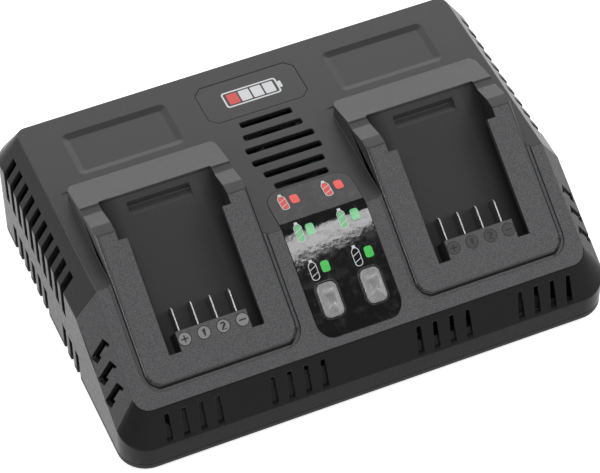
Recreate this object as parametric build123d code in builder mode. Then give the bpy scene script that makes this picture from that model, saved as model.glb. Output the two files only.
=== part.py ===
"""Dual-bay charger for slide-on power tool batteries, in millimetres.

+X is to the right, +Y to the rear and +Z up. The origin is at the middle of the
footprint, on the surface that the feet stand on.
"""
from math import cos, hypot, radians, sin, sqrt, tan
import os

from build123d import *

os.makedirs("parts", exist_ok=True)

# ---- case: overall sizes -------------------------------------------------------
case_width = 260.0
case_depth = 188.0
case_bottom = 2.0          # height of the case over the table
part_line = 5.5            # joint between base and cover
deck_z = 70.0              # flat rear deck
slope_angle = 33.0         # front face and battery bays, to the horizontal
slope_front_y = -86.0      # front edge of the top face
slope_front_z = 35.6
wall_top_rear = 52.8       # top of the upright wall, rear half
wall_top_front = 16.3      # top of the upright wall at the front
wall_bend_y = -30.7        # where the wall top starts to fall
side_inset_rear = 11.1     # how far the bevel band leans in
side_inset_front = 9.7
rear_inset = 11.0
wall = 2.5
wall_corner_r = 15.0
top_corner_front_r = 8.0
top_corner_rear_r = 5.0
fit = 0.3                  # gap between separate mouldings
touch_gap = 0.1            # narrow clearance of pieces that locate each other
clear = 40.0               # longer than anything a cut has to pass through
past = 1.0                 # how far a cut starts or ends beyond a surface

# ---- battery bays ---------------------------------------------------------------
bay_spacing = 142.6        # centre to centre
bay_proud = 1.2            # bay face over the sloping top face
pocket_width = 58.4        # between the walls under the rails
mouth_width = 49.3         # between the rails
pocket_depth = 14.9
rail_thickness = 3.6
notch_y = -17.0            # rear end of the rails
slot_end_y = -67.8         # front end of the pocket, on the bay face
tongue_rear_y = -59.5
tongue_side = 3.45         # tongue beyond the outer blades
frame_half = 39.5
frame_front_y = -78.0
frame_corner_r = 7.0
frame_edge_r = 2.0         # rounding of the frame's upper edge
bar_rear_y = 31.0
bar_ramp = 2.0             # run of the steep ramp behind the bar
bar_rear_z = 76.0
bar_front_z = 81.8
crest_z = 84.4
crest_y = (-13.0, -6.5)
strip_y = (4.5, 8.5)       # narrow ledge between the crest and the bar
strip_z = (81.2, 81.4)
bar_front_y = 9.5
seam_y = (9.3, 10.0)       # narrow seam across the pocket at the foot of the bar
seam_deep = 1.0
frame_foot_z = 20.0        # where the frame's block ends inside the case
pocket_out_y = 60.0        # the pocket's cut runs out behind the bar
latch_y = (0.5, 6.5)
latch_width = 32.8
latch_deep = 3.6
blade_pitch = 10.0
blade_thickness = 0.8
blade_height = 8.7
blade_top_depth = 5.9      # blade top under the bay face
blade_tip_y = -45.8

# ---- controls ---------------------------------------------------------------------
overlay_width = 44.6
overlay_rear_y = -9.0
overlay_front_y = -81.8
overlay_corner_r = 8.0
overlay_thickness = 0.8
overlay_recess = 0.7
overlay_bend_r = 10.0
led_x = (-8.6, 15.0)
red_led_y = -17.0
upper_led_y = -36.4
lower_led_y = -53.0
led_width = 4.6
led_length = 6.2
button_x = 11.5
button_y = -66.6
button_width = 10.4
button_length = 17.6
button_corner_r = 3.2
button_proud = 1.2
button_travel = 1.0
button_edge = 0.6
board_depth = 17.0         # indicator board under the bay face
board_thickness = 1.6

# ---- fan ------------------------------------------------------------------------
fan_y = 17.3
fan_size = 40.0
fan_height = 10.0
fan_post = 4.0
fan_wall = 1.0             # frame around the bore
fan_tip_gap = 1.0
fan_screw_inset = 4.0
hub_r = 9.5
blade_count = 7
shaft_r = 1.0
running_fit = 0.05
grille_halves = (14.2, 16.0, 18.5, 18.3, 15.8, 14.0)
grille_pitch = 9.06
grille_slot = 3.8
grille_end_r = 1.0
grille_first_y = -5.5

# ---- inside ---------------------------------------------------------------------
main_board_z = 10.0
main_board_width = 200.0
main_board_depth = 136.0
main_board_y = 12.0
header_y = -51.0
header_height = 4.0
lead_r = 0.8
screw_r = 1.5
small_screw_r = 1.25
screw_head_r = 2.6
screw_head_height = 2.0
cross_width = 0.6
cross_deep = 0.9
foot_r = 7.0
foot_height = 3.0
foot_edge = 0.6
foot_inset = (32.0, 22.0)
boss_inset = 17.0
boss_y = (76.0, -8.0, -79.0)
gland_z = 24.0
gland_bore_r = 3.5

# ---- worked out -----------------------------------------------------------------
slope = radians(slope_angle)
rise = tan(slope)
half_width = case_width / 2
half_depth = case_depth / 2
slope_y0_z = slope_front_z - rise * slope_front_y
bay_plane_z = slope_y0_z + bay_proud / cos(slope)     # height at which the bay face would cross y = 0
deck_bend_y = (deck_z - slope_y0_z) / rise
wall_fall = (wall_top_rear - wall_top_front) / (wall_bend_y + half_depth)
bevel_rise = deck_z - wall_top_rear
bevel_length = hypot(side_inset_rear, bevel_rise)
bevel_edge_drop = (bevel_length - bevel_rise) / side_inset_rear
bevel_rim_in = (bevel_length - side_inset_rear) / bevel_rise
main_board_top = main_board_z + board_thickness
fan_top = deck_z - wall - fan_post
fan_bottom = fan_top - fan_height
boss_x = half_width - boss_inset
boss_places = [(x, y) for y in boss_y for x in (-boss_x, boss_x)]
tongue_width = 3 * blade_pitch + 2 * tongue_side
fan_bore_r = fan_size / 2 - fan_wall
rotor_r = fan_bore_r - fan_tip_gap
fan_screw_pitch = fan_size - 2 * fan_screw_inset


def bay_plane(x=0.0, depth=0.0):
    """Plane on the bay face, its y axis up the slope, at y = 0 of the case."""
    normal = Vector(0, -sin(slope), cos(slope))
    return Plane(origin=Vector(x, 0, bay_plane_z) - normal * depth, x_dir=(1, 0, 0), z_dir=normal)


def along(y, depth=0.0):
    """Distance up the slope of the point at case position y, at a depth under the bay face."""
    return (y - depth * sin(slope)) / cos(slope)


def centred(front, rear):
    return (front + rear) / 2


# ---- the outer form of the case -----------------------------------------------------
def half_outline(plane, start, end, start_half, end_half, radius):
    """One half of a horizontal or tilted section, its two far corners rounded."""
    with BuildSketch(plane) as outline:
        with BuildLine():
            Polyline(
                (-start_half, start),
                (start_half, start),
                (end_half, end),
                (-end_half, end),
                close=True,
            )
        make_face()
        far = vertices().sort_by(Axis.Y)[:2] if end < start else vertices().sort_by(Axis.Y)[-2:]
        fillet(far, radius)
    return outline.sketch


def case_form(inward=0.0, bottom=case_bottom):
    """The closed form of the case, its walls moved inward by the given distance."""
    bevel_in = bevel_rim_in * inward
    side = half_width - inward
    end = half_depth - inward
    edge_rear = wall_top_rear - bevel_edge_drop * inward
    top = deck_z - inward
    slope_drop = inward / cos(slope)
    bend = (top - (slope_y0_z - slope_drop)) / rise
    tilt = Plane(
        origin=(0, wall_bend_y, edge_rear),
        x_dir=(1, 0, 0),
        z_dir=(0, -wall_fall, 1),
    )
    face = Plane(origin=(0, bend, top), x_dir=(1, 0, 0), z_dir=(0, -rise, 1))
    stretch = sqrt(1 + wall_fall**2)
    front_top = (slope_front_y + bevel_in - bend) / cos(slope)
    rear_top_half = half_width - side_inset_rear - bevel_in
    front_top_half = half_width - side_inset_front - bevel_in
    floor = Plane.XY.offset(bottom)
    top_r = max(top_corner_front_r - inward, 1.0)
    rear_r = max(top_corner_rear_r - inward, 1.0)
    wall_r = wall_corner_r - inward
    with BuildPart() as form:
        loft(
            sections=[
                half_outline(floor, wall_bend_y, -end, side, side, wall_r),
                half_outline(tilt, 0, -(end + wall_bend_y) * stretch, side, side, wall_r),
                half_outline(face, 0, front_top, rear_top_half, front_top_half, top_r),
            ],
            ruled=True,
        )
        loft(
            sections=[
                half_outline(floor, wall_bend_y, end, side, side, wall_r),
                half_outline(Plane.XY.offset(edge_rear), wall_bend_y, end, side, side, wall_r),
                half_outline(
                    Plane.XY.offset(top),
                    bend,
                    half_depth - rear_inset - bevel_in,
                    rear_top_half,
                    rear_top_half,
                    rear_r,
                ),
            ],
            ruled=True,
        )
    return form.part


def frame_form(x, inward=0.0):
    """The raised frame of a bay: rear bar, crest and the sloping face."""
    half = frame_half - inward
    drop = inward / cos(slope)
    front = frame_front_y + inward
    rear = bar_rear_y + bar_ramp - inward
    with BuildPart() as frame:
        with BuildSketch(Plane.YZ.offset(x - half)):
            with BuildLine():
                Polyline(
                    (front, frame_foot_z),
                    (front, bay_plane_z + rise * front - drop),
                    (crest_y[0], crest_z - drop),
                    (crest_y[1], crest_z - drop),
                    (strip_y[0], strip_z[0] - inward),
                    (strip_y[1], strip_z[1] - inward),
                    (bar_front_y, bar_front_z - inward),
                    (rear - bar_ramp, bar_rear_z - inward),
                    (rear, deck_z - inward),
                    (rear, frame_foot_z),
                    close=True,
                )
            make_face()
        extrude(amount=2 * half)
        with BuildSketch(Plane.XY.offset(frame_foot_z)):
            with Locations((x, centred(front, rear))):
                RectangleRounded(2 * half, rear - front, frame_corner_r - inward)
        extrude(amount=deck_z, mode=Mode.INTERSECT)
    return frame.part


def soft_frame(x):
    """A bay's frame with the rim of its sloping face rounded off."""
    with BuildPart() as frame:
        add(frame_form(x))
        sloping = frame.faces().filter_by(lambda face: face.normal_at().dot(bay_plane().z_dir) > 0.999)
        rim = sloping.sort_by(SortBy.AREA)[-1].edges()
        fillet(rim.filter_by(lambda edge: edge.center().Y < crest_y[0] - past), frame_edge_r)
    return frame.part


outer_form = case_form(bottom=part_line)
inner_form = case_form(inward=wall, bottom=part_line - past)
bay_centres = {"left": -bay_spacing / 2, "right": bay_spacing / 2}
frames = {side: soft_frame(x) for side, x in bay_centres.items()}
frame_hollows = {side: frame_form(x, inward=wall) for side, x in bay_centres.items()}

slot_end_v = along(slot_end_y)
tongue_rear_v = along(tongue_rear_y)
notch_v = along(notch_y)
pocket_rear_v = along(pocket_out_y)
well_floor = pocket_depth + wall
carrier_front_v = tongue_rear_v - 17.0
carrier_side = 0.8          # wall of the terminal block beside the outer blades
carrier_half = (3 * blade_pitch + blade_thickness) / 2 + carrier_side
tongue_wall = 2.0          # rear wall of the tongue, with the blade slots
carrier_plate = 3.0
terminal_boss = 3.0
terminal_boss_out = 5.8     # screw centre beyond the block
terminal_boss_u = carrier_half + terminal_boss_out
terminal_boss_r = 3.5
terminal_boss_v = tongue_rear_v - 5.0
blade_v_front = tongue_rear_v - 13.0


def well_form(x):
    """Walls and floor of a pocket, with a pad under the latch recess, before the pocket is cut."""
    with BuildPart() as well:
        with BuildSketch(bay_plane(x, well_floor)):
            with Locations((0, centred(slot_end_v - wall, pocket_rear_v))):
                Rectangle(pocket_width + 2 * wall, pocket_rear_v - slot_end_v + wall)
        extrude(amount=well_floor + clear)
        with BuildSketch(bay_plane(x, well_floor + terminal_boss)):
            with Locations((-terminal_boss_u, terminal_boss_v), (terminal_boss_u, terminal_boss_v)):
                Circle(terminal_boss_r)
        extrude(amount=terminal_boss)
        pad_front = along(latch_y[0], pocket_depth)
        pad_rear = along(latch_y[1], pocket_depth) + 2 * wall
        with BuildSketch(bay_plane(x, well_floor + latch_deep)):
            with Locations((0, centred(pad_front, pad_rear))):
                Rectangle(latch_width + 2 * wall, pad_rear - pad_front)
        extrude(amount=latch_deep)
    return well.part


def pocket_form(x):
    """The space of a pocket: channel under the rails, mouth between them and the open rear."""
    with BuildPart() as pocket:
        with BuildSketch(bay_plane(x, pocket_depth)):
            with Locations((0, centred(slot_end_v, pocket_rear_v))):
                Rectangle(pocket_width, pocket_rear_v - slot_end_v)
        extrude(amount=pocket_depth - rail_thickness)
        with BuildSketch(bay_plane(x, rail_thickness)):
            with Locations((0, centred(slot_end_v, pocket_rear_v))):
                Rectangle(mouth_width, pocket_rear_v - slot_end_v)
        extrude(amount=clear)
        with BuildSketch(bay_plane(x, rail_thickness)):
            with Locations((0, centred(notch_v, pocket_rear_v))):
                Rectangle(pocket_width, pocket_rear_v - notch_v)
        extrude(amount=clear)
        with BuildSketch(bay_plane(x, pocket_depth)):
            with Locations((0, centred(slot_end_v - past, tongue_rear_v))):
                Rectangle(tongue_width, tongue_rear_v - slot_end_v + past)
        extrude(amount=pocket_depth + clear, mode=Mode.SUBTRACT)
    return pocket.part


def terminal_space(x):
    """Room for the terminal block inside the tongue, open towards the inside of the case."""
    front = carrier_front_v - past
    rear = tongue_rear_v - tongue_wall
    with BuildPart() as space:
        with BuildSketch(bay_plane(x, well_floor + clear / 4)):
            with Locations((0, centred(front, rear))):
                Rectangle(2 * (carrier_half + fit), rear - front)
        extrude(amount=well_floor + clear / 4 - wall)
    return space.part


def latch_recess(x):
    """Wedge recess in the pocket floor that a battery latch drops into."""
    front, rear = latch_y
    floor_z = bay_plane_z - pocket_depth / cos(slope)
    with BuildPart() as recess:
        with BuildSketch(Plane.YZ.offset(x - latch_width / 2)):
            with BuildLine():
                Polyline(
                    (front, floor_z + rise * front),
                    (front, floor_z + rise * front + wall),
                    (rear, floor_z + rise * rear + wall),
                    (rear, floor_z + rise * rear - latch_deep),
                    close=True,
                )
            make_face()
        extrude(amount=latch_width)
    return recess.part


# ---- top cover -----------------------------------------------------------------------
with BuildPart() as envelope:
    add(outer_form)
    for frame in frames.values():
        add(frame)


def inside_envelope(form):
    """The stretch of a form that stays inside the outer surface of the cover."""
    with BuildPart() as clipped:
        add(envelope.part)
        add(form, mode=Mode.INTERSECT)
    return clipped.part


def overlay_form(lower, upper, grow=0.0):
    """Sheet that lies on the deck and bends down the sloping face."""
    front = overlay_front_y - grow
    rear = overlay_rear_y + grow
    front_z = slope_y0_z + rise * front
    lift = 1 / cos(slope)
    with BuildPart() as sheet:
        with BuildSketch(Plane.YZ.offset(-overlay_width / 2 - grow)) as profile:
            with BuildLine():
                Polyline(
                    (rear, deck_z + lower),
                    (deck_bend_y - lower * tan(slope / 2), deck_z + lower),
                    (front, front_z + lower * lift),
                    (front, front_z + upper * lift),
                    (deck_bend_y - upper * tan(slope / 2), deck_z + upper),
                    (rear, deck_z + upper),
                    close=True,
                )
            make_face()
            bends = profile.vertices().filter_by_position(Axis.X, deck_bend_y - wall, deck_bend_y + wall)
            bends = bends.sort_by(Axis.Y)
            fillet(bends[0], overlay_bend_r + lower)
            fillet(bends[-1], overlay_bend_r + upper)
        extrude(amount=overlay_width + 2 * grow)
        with BuildSketch(Plane.XY):
            with Locations((0, centred(front, rear))):
                RectangleRounded(overlay_width + 2 * grow, rear - front, overlay_corner_r + grow)
        extrude(amount=2 * deck_z, mode=Mode.INTERSECT)
    return sheet.part


def on_slope(y):
    """Distance up the slope of a point on the sloping top face."""
    return along(y, bay_proud)


indicator_boss_x = 18.9
indicator_boss_y = (-79.6, -44.7)
slope_leds = [(x, on_slope(y)) for y in (upper_led_y, lower_led_y) for x in led_x]
button_places = {"left": (-button_x, on_slope(button_y)), "right": (button_x, on_slope(button_y))}
indicator_bosses = [(x, on_slope(y)) for y in indicator_boss_y for x in (-indicator_boss_x, indicator_boss_x)]
indicator_boss_r = 2.6
cover_under = bay_proud + wall
blade_places = [-1.5 * blade_pitch, -0.5 * blade_pitch, 0.5 * blade_pitch, 1.5 * blade_pitch]
blade_names = ["plus", "signal_1", "signal_2", "minus"]
fan_posts = [
    (x, fan_y + y)
    for x in (-fan_screw_pitch / 2, fan_screw_pitch / 2)
    for y in (-fan_screw_pitch / 2, fan_screw_pitch / 2)
]
fan_post_r = 3.2
boss_r = 4.2
boss_foot_z = 8.5
badge_width = 54.4
badge_depth = 26.6
badge_y = 59.0
badge_corner = 4.0
badge_recess = 1.0
panel_width = 56.0
panel_depth = 29.5
panel_y = 55.5
panel_bevel = 3.2
panel_recess = 1.1
panel_floor_r = 1.0
vent_slot = 3.8
vent_pitch = 9.06
side_vent_slot = 4.6
upper_vents = (34.5, 61.8)
lower_vents = (part_line - past, 20.5)     # open at the bottom, where the base carries the slots on
upper_vent_reach = 13.5     # how far in from the side the cut goes
lower_vent_reach = 5.0
upper_vent_y = [70.5 - row * vent_pitch for row in range(10)]
lower_vent_y = [65.0 - row * vent_pitch for row in (0, 1, 2, 3, 4, 5, 8, 9, 10)]
slope_vent_height = 11.0
slope_vent_drop = 10.0      # middle of the slot under the sloping face
slope_vent_reach = 12.0
slope_vent_tab = (1.5, 6.0)  # rib in the front side of each of these slots: width and height
slope_vent_tab_drop = 1.4    # top of the rib under the top of the slot
front_vents = (17.6, 31.8)
front_vent_count = 4
front_vent_reach = half_depth + slope_front_y + 3.5
louvre_rear_y = slope_front_y + 2.0
louvre_width = 2.6          # a louvre widens inwards from nothing at the front wall
rear_vents = (30.0, 50.0)
rear_vent_count = 7
rear_vent_groups = (-70.0, 70.0)
groove_width = 1.8          # shallow groove around each bay frame
groove_deep = 0.9
case_bore_deep = 14.0
indicator_bore_deep = 7.0
front_vent_pitch = 8.85
front_vent_groups = (-94.0, -38.9, 38.9, 94.0)
slope_vent_y = (-51.3, -60.6, -69.9)
gland_flange_r = 9.0
gland_neck_r = 6.5
gland_flange = 1.5



def groove_form(side, x):
    """Shallow groove in the sloping face, along the foot of a bay's frame."""
    front = frame_front_y - groove_width
    with BuildPart() as groove:
        with BuildSketch(Plane.XY):
            with Locations((x, centred(front, bar_rear_y))):
                outer_r = frame_corner_r + groove_width
                RectangleRounded(2 * (frame_half + groove_width), bar_rear_y - front, outer_r)
        extrude(amount=2 * deck_z)
        split(bisect_by=bay_plane(0, bay_proud + groove_deep), keep=Keep.TOP)
        split(bisect_by=bay_plane(0, bay_proud - past), keep=Keep.BOTTOM)
        add(frames[side], mode=Mode.SUBTRACT)
    return groove.part


def vent_tab(side, vent_y):
    """Rib along the front side of a slot below the sloping face."""
    slot_top = slope_y0_z + rise * vent_y - slope_vent_drop + slope_vent_height / 2
    width, height = slope_vent_tab
    with BuildPart() as tab:
        with BuildSketch(Plane.YZ.offset(side * half_width)):
            tab_y = vent_y - (side_vent_slot - width) / 2 - fit
            with Locations((tab_y, slot_top - slope_vent_tab_drop - height / 2)):
                Rectangle(width + 2 * fit, height)
        extrude(amount=-side * slope_vent_reach)
    return tab.part


def louvre_form(slot_x):
    """Wedge that narrows a front slot towards the inside of the case."""
    left = slot_x - vent_slot / 2
    with BuildPart() as louvre:
        with BuildSketch(Plane.XY.offset(front_vents[0] - fit)):
            with BuildLine():
                Polyline(
                    (left - wall / 2, -half_depth),
                    (left, -half_depth),
                    (left + louvre_width, louvre_rear_y),
                    (left - wall / 2, louvre_rear_y),
                    close=True,
                )
            make_face()
        extrude(amount=front_vents[1] - front_vents[0] + 2 * fit)
    return louvre.part


with BuildPart() as top_cover:
    add(envelope.part)
    add(inner_form, mode=Mode.SUBTRACT)
    for hollow in frame_hollows.values():
        add(hollow, mode=Mode.SUBTRACT)
    for bay_x in bay_centres.values():
        add(inside_envelope(well_form(bay_x)))
    with BuildSketch(Plane.XY.offset(boss_foot_z)):
        with Locations(*boss_places):
            Circle(boss_r)
    boss_columns = extrude(amount=deck_z, mode=Mode.PRIVATE)
    add(inside_envelope(boss_columns))
    with BuildSketch(bay_plane(0, board_depth)):
        with Locations(*indicator_bosses):
            Circle(indicator_boss_r)
    indicator_columns = extrude(amount=board_depth, mode=Mode.PRIVATE)
    add(inside_envelope(indicator_columns))
    with BuildSketch(Plane.XY.offset(fan_top)):
        with Locations(*fan_posts):
            Circle(fan_post_r)
    extrude(amount=fan_post + wall / 2)
    for side, bay_x in bay_centres.items():
        add(groove_form(side, bay_x), mode=Mode.SUBTRACT)
        add(pocket_form(bay_x), mode=Mode.SUBTRACT)
        add(terminal_space(bay_x), mode=Mode.SUBTRACT)
        add(latch_recess(bay_x), mode=Mode.SUBTRACT)
        with BuildSketch(bay_plane(bay_x, pocket_depth)):
            with Locations(*[(u, tongue_rear_v - tongue_wall / 2) for u in blade_places]):
                Rectangle(blade_thickness + fit, 2 * tongue_wall)
        extrude(amount=pocket_depth - blade_top_depth + fit, mode=Mode.SUBTRACT)
        with BuildSketch(bay_plane(bay_x, well_floor + terminal_boss)):
            with Locations((-terminal_boss_u, terminal_boss_v), (terminal_boss_u, terminal_boss_v)):
                Circle(small_screw_r + touch_gap)
        extrude(amount=terminal_boss + past, mode=Mode.SUBTRACT)
        with BuildSketch(Plane.XY.offset(bar_front_z - seam_deep)):
            with Locations((bay_x, centred(*seam_y))):
                Rectangle(pocket_width, seam_y[1] - seam_y[0])
        extrude(amount=2 * seam_deep, mode=Mode.SUBTRACT)
        with BuildSketch(Plane.XY.offset(deck_z)) as panel_rim:
            with Locations((bay_x, panel_y)):
                RectangleRounded(panel_width, panel_depth, panel_bevel)
        with BuildSketch(Plane.XY.offset(deck_z - panel_recess)) as panel_floor:
            with Locations((bay_x, panel_y)):
                RectangleRounded(panel_width - 2 * panel_bevel, panel_depth - 2 * panel_bevel, panel_floor_r)
        loft(sections=[panel_floor.sketch, panel_rim.sketch], ruled=True, mode=Mode.SUBTRACT)
    with BuildSketch(Plane.XY.offset(deck_z - badge_recess)):
        with Locations((0, badge_y)):
            Rectangle(badge_width, badge_depth)
        chamfer(vertices(), badge_corner)
    extrude(amount=badge_recess, mode=Mode.SUBTRACT)
    add(overlay_form(-overlay_recess, wall, grow=touch_gap), mode=Mode.SUBTRACT)
    with BuildSketch(bay_plane(0, cover_under + past)):
        with Locations(*slope_leds):
            Rectangle(led_width + 2 * touch_gap, led_length + 2 * touch_gap)
        with Locations(*button_places.values()):
            RectangleRounded(button_width + 2 * fit, button_length + 2 * fit, button_corner_r + fit)
    extrude(amount=2 * cover_under, mode=Mode.SUBTRACT)
    with BuildSketch(Plane.XY.offset(deck_z - wall - past)):
        with Locations(*[(x, red_led_y) for x in led_x]):
            Rectangle(led_width + 2 * touch_gap, led_length + 2 * touch_gap)
        for row, slot_half in enumerate(grille_halves):
            with Locations((0, grille_first_y + row * grille_pitch)):
                RectangleRounded(2 * slot_half, grille_slot, grille_end_r)
    extrude(amount=wall + 2 * past, mode=Mode.SUBTRACT)
    with BuildSketch(Plane.XY.offset(fan_top)):
        with Locations(*fan_posts):
            Circle(small_screw_r + touch_gap)
    extrude(amount=fan_post, mode=Mode.SUBTRACT)
    with BuildSketch(Plane.XY.offset(boss_foot_z)):
        with Locations(*boss_places):
            Circle(screw_r + touch_gap)
    extrude(amount=case_bore_deep, mode=Mode.SUBTRACT)
    with BuildSketch(bay_plane(0, board_depth)):
        with Locations(*indicator_bosses):
            Circle(small_screw_r + touch_gap)
    extrude(amount=indicator_bore_deep, mode=Mode.SUBTRACT)
    side_vents = (
        (*upper_vents, upper_vent_y, upper_vent_reach),
        (*lower_vents, lower_vent_y, lower_vent_reach),
    )
    for side in (-1, 1):
        for low, high, vent_row, reach in side_vents:
            with BuildSketch(Plane.YZ.offset(side * (half_width + past))):
                with Locations(*[(vent_y, centred(low, high)) for vent_y in vent_row]):
                    Rectangle(side_vent_slot, high - low)
            extrude(amount=-side * (reach + past), mode=Mode.SUBTRACT)
        for vent_y in slope_vent_y:
            with BuildSketch(Plane.YZ.offset(side * (half_width + past))):
                with Locations((vent_y, slope_y0_z + rise * vent_y - slope_vent_drop)):
                    Rectangle(side_vent_slot, slope_vent_height)
            extrude(amount=-side * (slope_vent_reach + past), mode=Mode.SUBTRACT)
            add(inside_envelope(vent_tab(side, vent_y)))
    for group_x in front_vent_groups:
        with BuildSketch(Plane.XZ.offset(half_depth)):
            with Locations((group_x, centred(*front_vents))):
                with GridLocations(front_vent_pitch, front_vent_pitch, front_vent_count, 1):
                    Rectangle(vent_slot, front_vents[1] - front_vents[0])
        extrude(amount=-front_vent_reach, mode=Mode.SUBTRACT)
        for slot in range(front_vent_count):
            slot_x = group_x + (slot - (front_vent_count - 1) / 2) * front_vent_pitch
            add(inside_envelope(louvre_form(slot_x)))
    for group_x in rear_vent_groups:
        with BuildSketch(Plane.XZ.offset(-half_depth)):
            with Locations((group_x, centred(*rear_vents))):
                with GridLocations(vent_pitch, vent_pitch, rear_vent_count, 1):
                    Rectangle(vent_slot, rear_vents[1] - rear_vents[0])
        extrude(amount=2 * wall, mode=Mode.SUBTRACT)
    with BuildSketch(Plane.XZ.offset(-half_depth)):
        with Locations((0, gland_z)):
            Circle(gland_flange_r + touch_gap)
    extrude(amount=gland_flange, mode=Mode.SUBTRACT)
    with BuildSketch(Plane.XZ.offset(-half_depth)):
        with Locations((0, gland_z)):
            Circle(gland_neck_r + touch_gap)
    extrude(amount=wall + past, mode=Mode.SUBTRACT)
top_cover.part.label = "top_cover"
export_step(top_cover.part, "parts/top_cover.step")

# ---- base shell ----------------------------------------------------------------------
base_floor = case_bottom + wall
base_edge = 0.6
base_notch = 1.5            # depth of the side slots where they run on into the base
lip_thickness = 1.6
lip_top = boss_foot_z
standoff_r = 3.5
header_end = 3.0            # terminal header beyond the outer leads
header_width = 3 * blade_pitch + 2 * header_end
standoff_x = bay_spacing / 2 + header_width / 2 + screw_head_r + touch_gap
standoff_y = 60.0
standoff_rows = (main_board_y - standoff_y, main_board_y + standoff_y)
standoff_places = [(x, y) for y in standoff_rows for x in (-standoff_x, standoff_x)]
foot_x = half_width - foot_inset[0]
foot_y = half_depth - foot_inset[1]
feet_places = [(x, y) for y in (-foot_y, foot_y) for x in (-foot_x, foot_x)]
foot_recess = 1.0
pillar_r = 5.0
counterbore_r = screw_head_r + 0.7
counterbore_top = 5.2
base_vent_length = 40.0
base_vent_width = 4.0
base_vent_pitch = 12.0
base_vent_rows = 60.0
base_vent_count = 9

with BuildPart() as base_shell:
    with BuildSketch(Plane.XY.offset(case_bottom)):
        RectangleRounded(case_width, case_depth, wall_corner_r)
    extrude(amount=part_line - case_bottom)
    chamfer(base_shell.faces().sort_by(Axis.Z)[0].edges(), base_edge)
    with BuildSketch(Plane.XY.offset(base_floor)):
        RectangleRounded(case_width - 2 * wall, case_depth - 2 * wall, wall_corner_r - wall)
    extrude(amount=part_line - base_floor, mode=Mode.SUBTRACT)
    lip_out = wall + fit
    lip_in = lip_out + lip_thickness
    with BuildSketch(Plane.XY.offset(base_floor)):
        RectangleRounded(case_width - 2 * lip_out, case_depth - 2 * lip_out, wall_corner_r - lip_out)
        RectangleRounded(
            case_width - 2 * lip_in,
            case_depth - 2 * lip_in,
            wall_corner_r - lip_in,
            mode=Mode.SUBTRACT,
        )
    extrude(amount=lip_top - base_floor)
    with BuildSketch(Plane.XY.offset(base_floor)):
        with Locations(*boss_places):
            Circle(pillar_r)
    extrude(amount=boss_foot_z - base_floor)
    with BuildSketch(Plane.XY.offset(base_floor)):
        with Locations(*standoff_places):
            Circle(standoff_r)
    extrude(amount=main_board_z - base_floor)
    with BuildSketch(Plane.XY.offset(case_bottom)):
        with Locations(*boss_places):
            Circle(counterbore_r)
    extrude(amount=counterbore_top - case_bottom, mode=Mode.SUBTRACT)
    with BuildSketch(Plane.XY.offset(case_bottom)):
        with Locations(*boss_places):
            Circle(screw_r + touch_gap)
    extrude(amount=boss_foot_z, mode=Mode.SUBTRACT)
    with BuildSketch(Plane.XY.offset(case_bottom)):
        with Locations(*feet_places):
            Circle(foot_r + touch_gap)
    extrude(amount=foot_recess, mode=Mode.SUBTRACT)
    with BuildSketch(Plane.XY.offset(base_floor)):
        with Locations(*standoff_places):
            Circle(small_screw_r + touch_gap)
    extrude(amount=main_board_z, mode=Mode.SUBTRACT)
    with BuildSketch(Plane.XY.offset(case_bottom)):
        with GridLocations(base_vent_pitch, base_vent_rows, base_vent_count, 2):
            SlotOverall(base_vent_length, base_vent_width, rotation=90)
    extrude(amount=wall, mode=Mode.SUBTRACT)
    with BuildSketch(Plane.XY.offset(case_bottom)):
        for side in (-half_width, half_width):
            with Locations(*[(side, vent_y) for vent_y in lower_vent_y]):
                Rectangle(2 * base_notch, side_vent_slot)
    extrude(amount=part_line - case_bottom, mode=Mode.SUBTRACT)
base_shell.part.label = "base_shell"
export_step(base_shell.part, "parts/base_shell.step")

with BuildPart() as rubber_feet:
    with BuildSketch(Plane.XY):
        with Locations(*feet_places):
            Circle(foot_r)
    extrude(amount=foot_height)
    chamfer(rubber_feet.faces().group_by(Axis.Z)[0].edges(), foot_edge)
rubber_feet.part.label = "rubber_feet"
export_step(rubber_feet.part, "parts/rubber_feet.step")

# ---- badge, overlay, light guides and buttons -------------------------------------------
with BuildPart() as badge_plate:
    with BuildSketch(Plane.XY.offset(deck_z - badge_recess)):
        with Locations((0, badge_y)):
            Rectangle(badge_width - 2 * touch_gap, badge_depth - 2 * touch_gap)
        chamfer(vertices(), badge_corner - touch_gap / 2)
    extrude(amount=badge_recess - touch_gap)
badge_plate.part.label = "badge_plate"
export_step(badge_plate.part, "parts/badge_plate.step")

with BuildPart() as indicator_overlay:
    add(overlay_form(-overlay_recess, overlay_thickness - overlay_recess))
    with BuildSketch(bay_plane(0, cover_under)):
        with Locations(*button_places.values()):
            RectangleRounded(button_width + 2 * fit, button_length + 2 * fit, button_corner_r + fit)
    extrude(amount=2 * cover_under, mode=Mode.SUBTRACT)
indicator_overlay.part.label = "indicator_overlay"
export_step(indicator_overlay.part, "parts/indicator_overlay.step")

led_height = 1.2
guide_top_depth = bay_proud + overlay_recess
led_top_depth = board_depth - led_height
with BuildPart() as green_light_guides:
    with BuildSketch(bay_plane(0, led_top_depth - fit)):
        with Locations(*slope_leds):
            Rectangle(led_width, led_length)
    extrude(amount=led_top_depth - fit - guide_top_depth)
    add(indicator_overlay.part, mode=Mode.SUBTRACT)
green_light_guides.part.label = "green_light_guides"
export_step(green_light_guides.part, "parts/green_light_guides.step")

with BuildPart() as red_light_guides:
    with BuildSketch(Plane.XY.offset(deck_z - overlay_recess)):
        with Locations(*[(x, red_led_y) for x in led_x]):
            Rectangle(led_width, led_length)
    extrude(amount=-clear)
    split(bisect_by=bay_plane(0, led_top_depth - fit), keep=Keep.TOP)
red_light_guides.part.label = "red_light_guides"
export_step(red_light_guides.part, "parts/red_light_guides.step")

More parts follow.
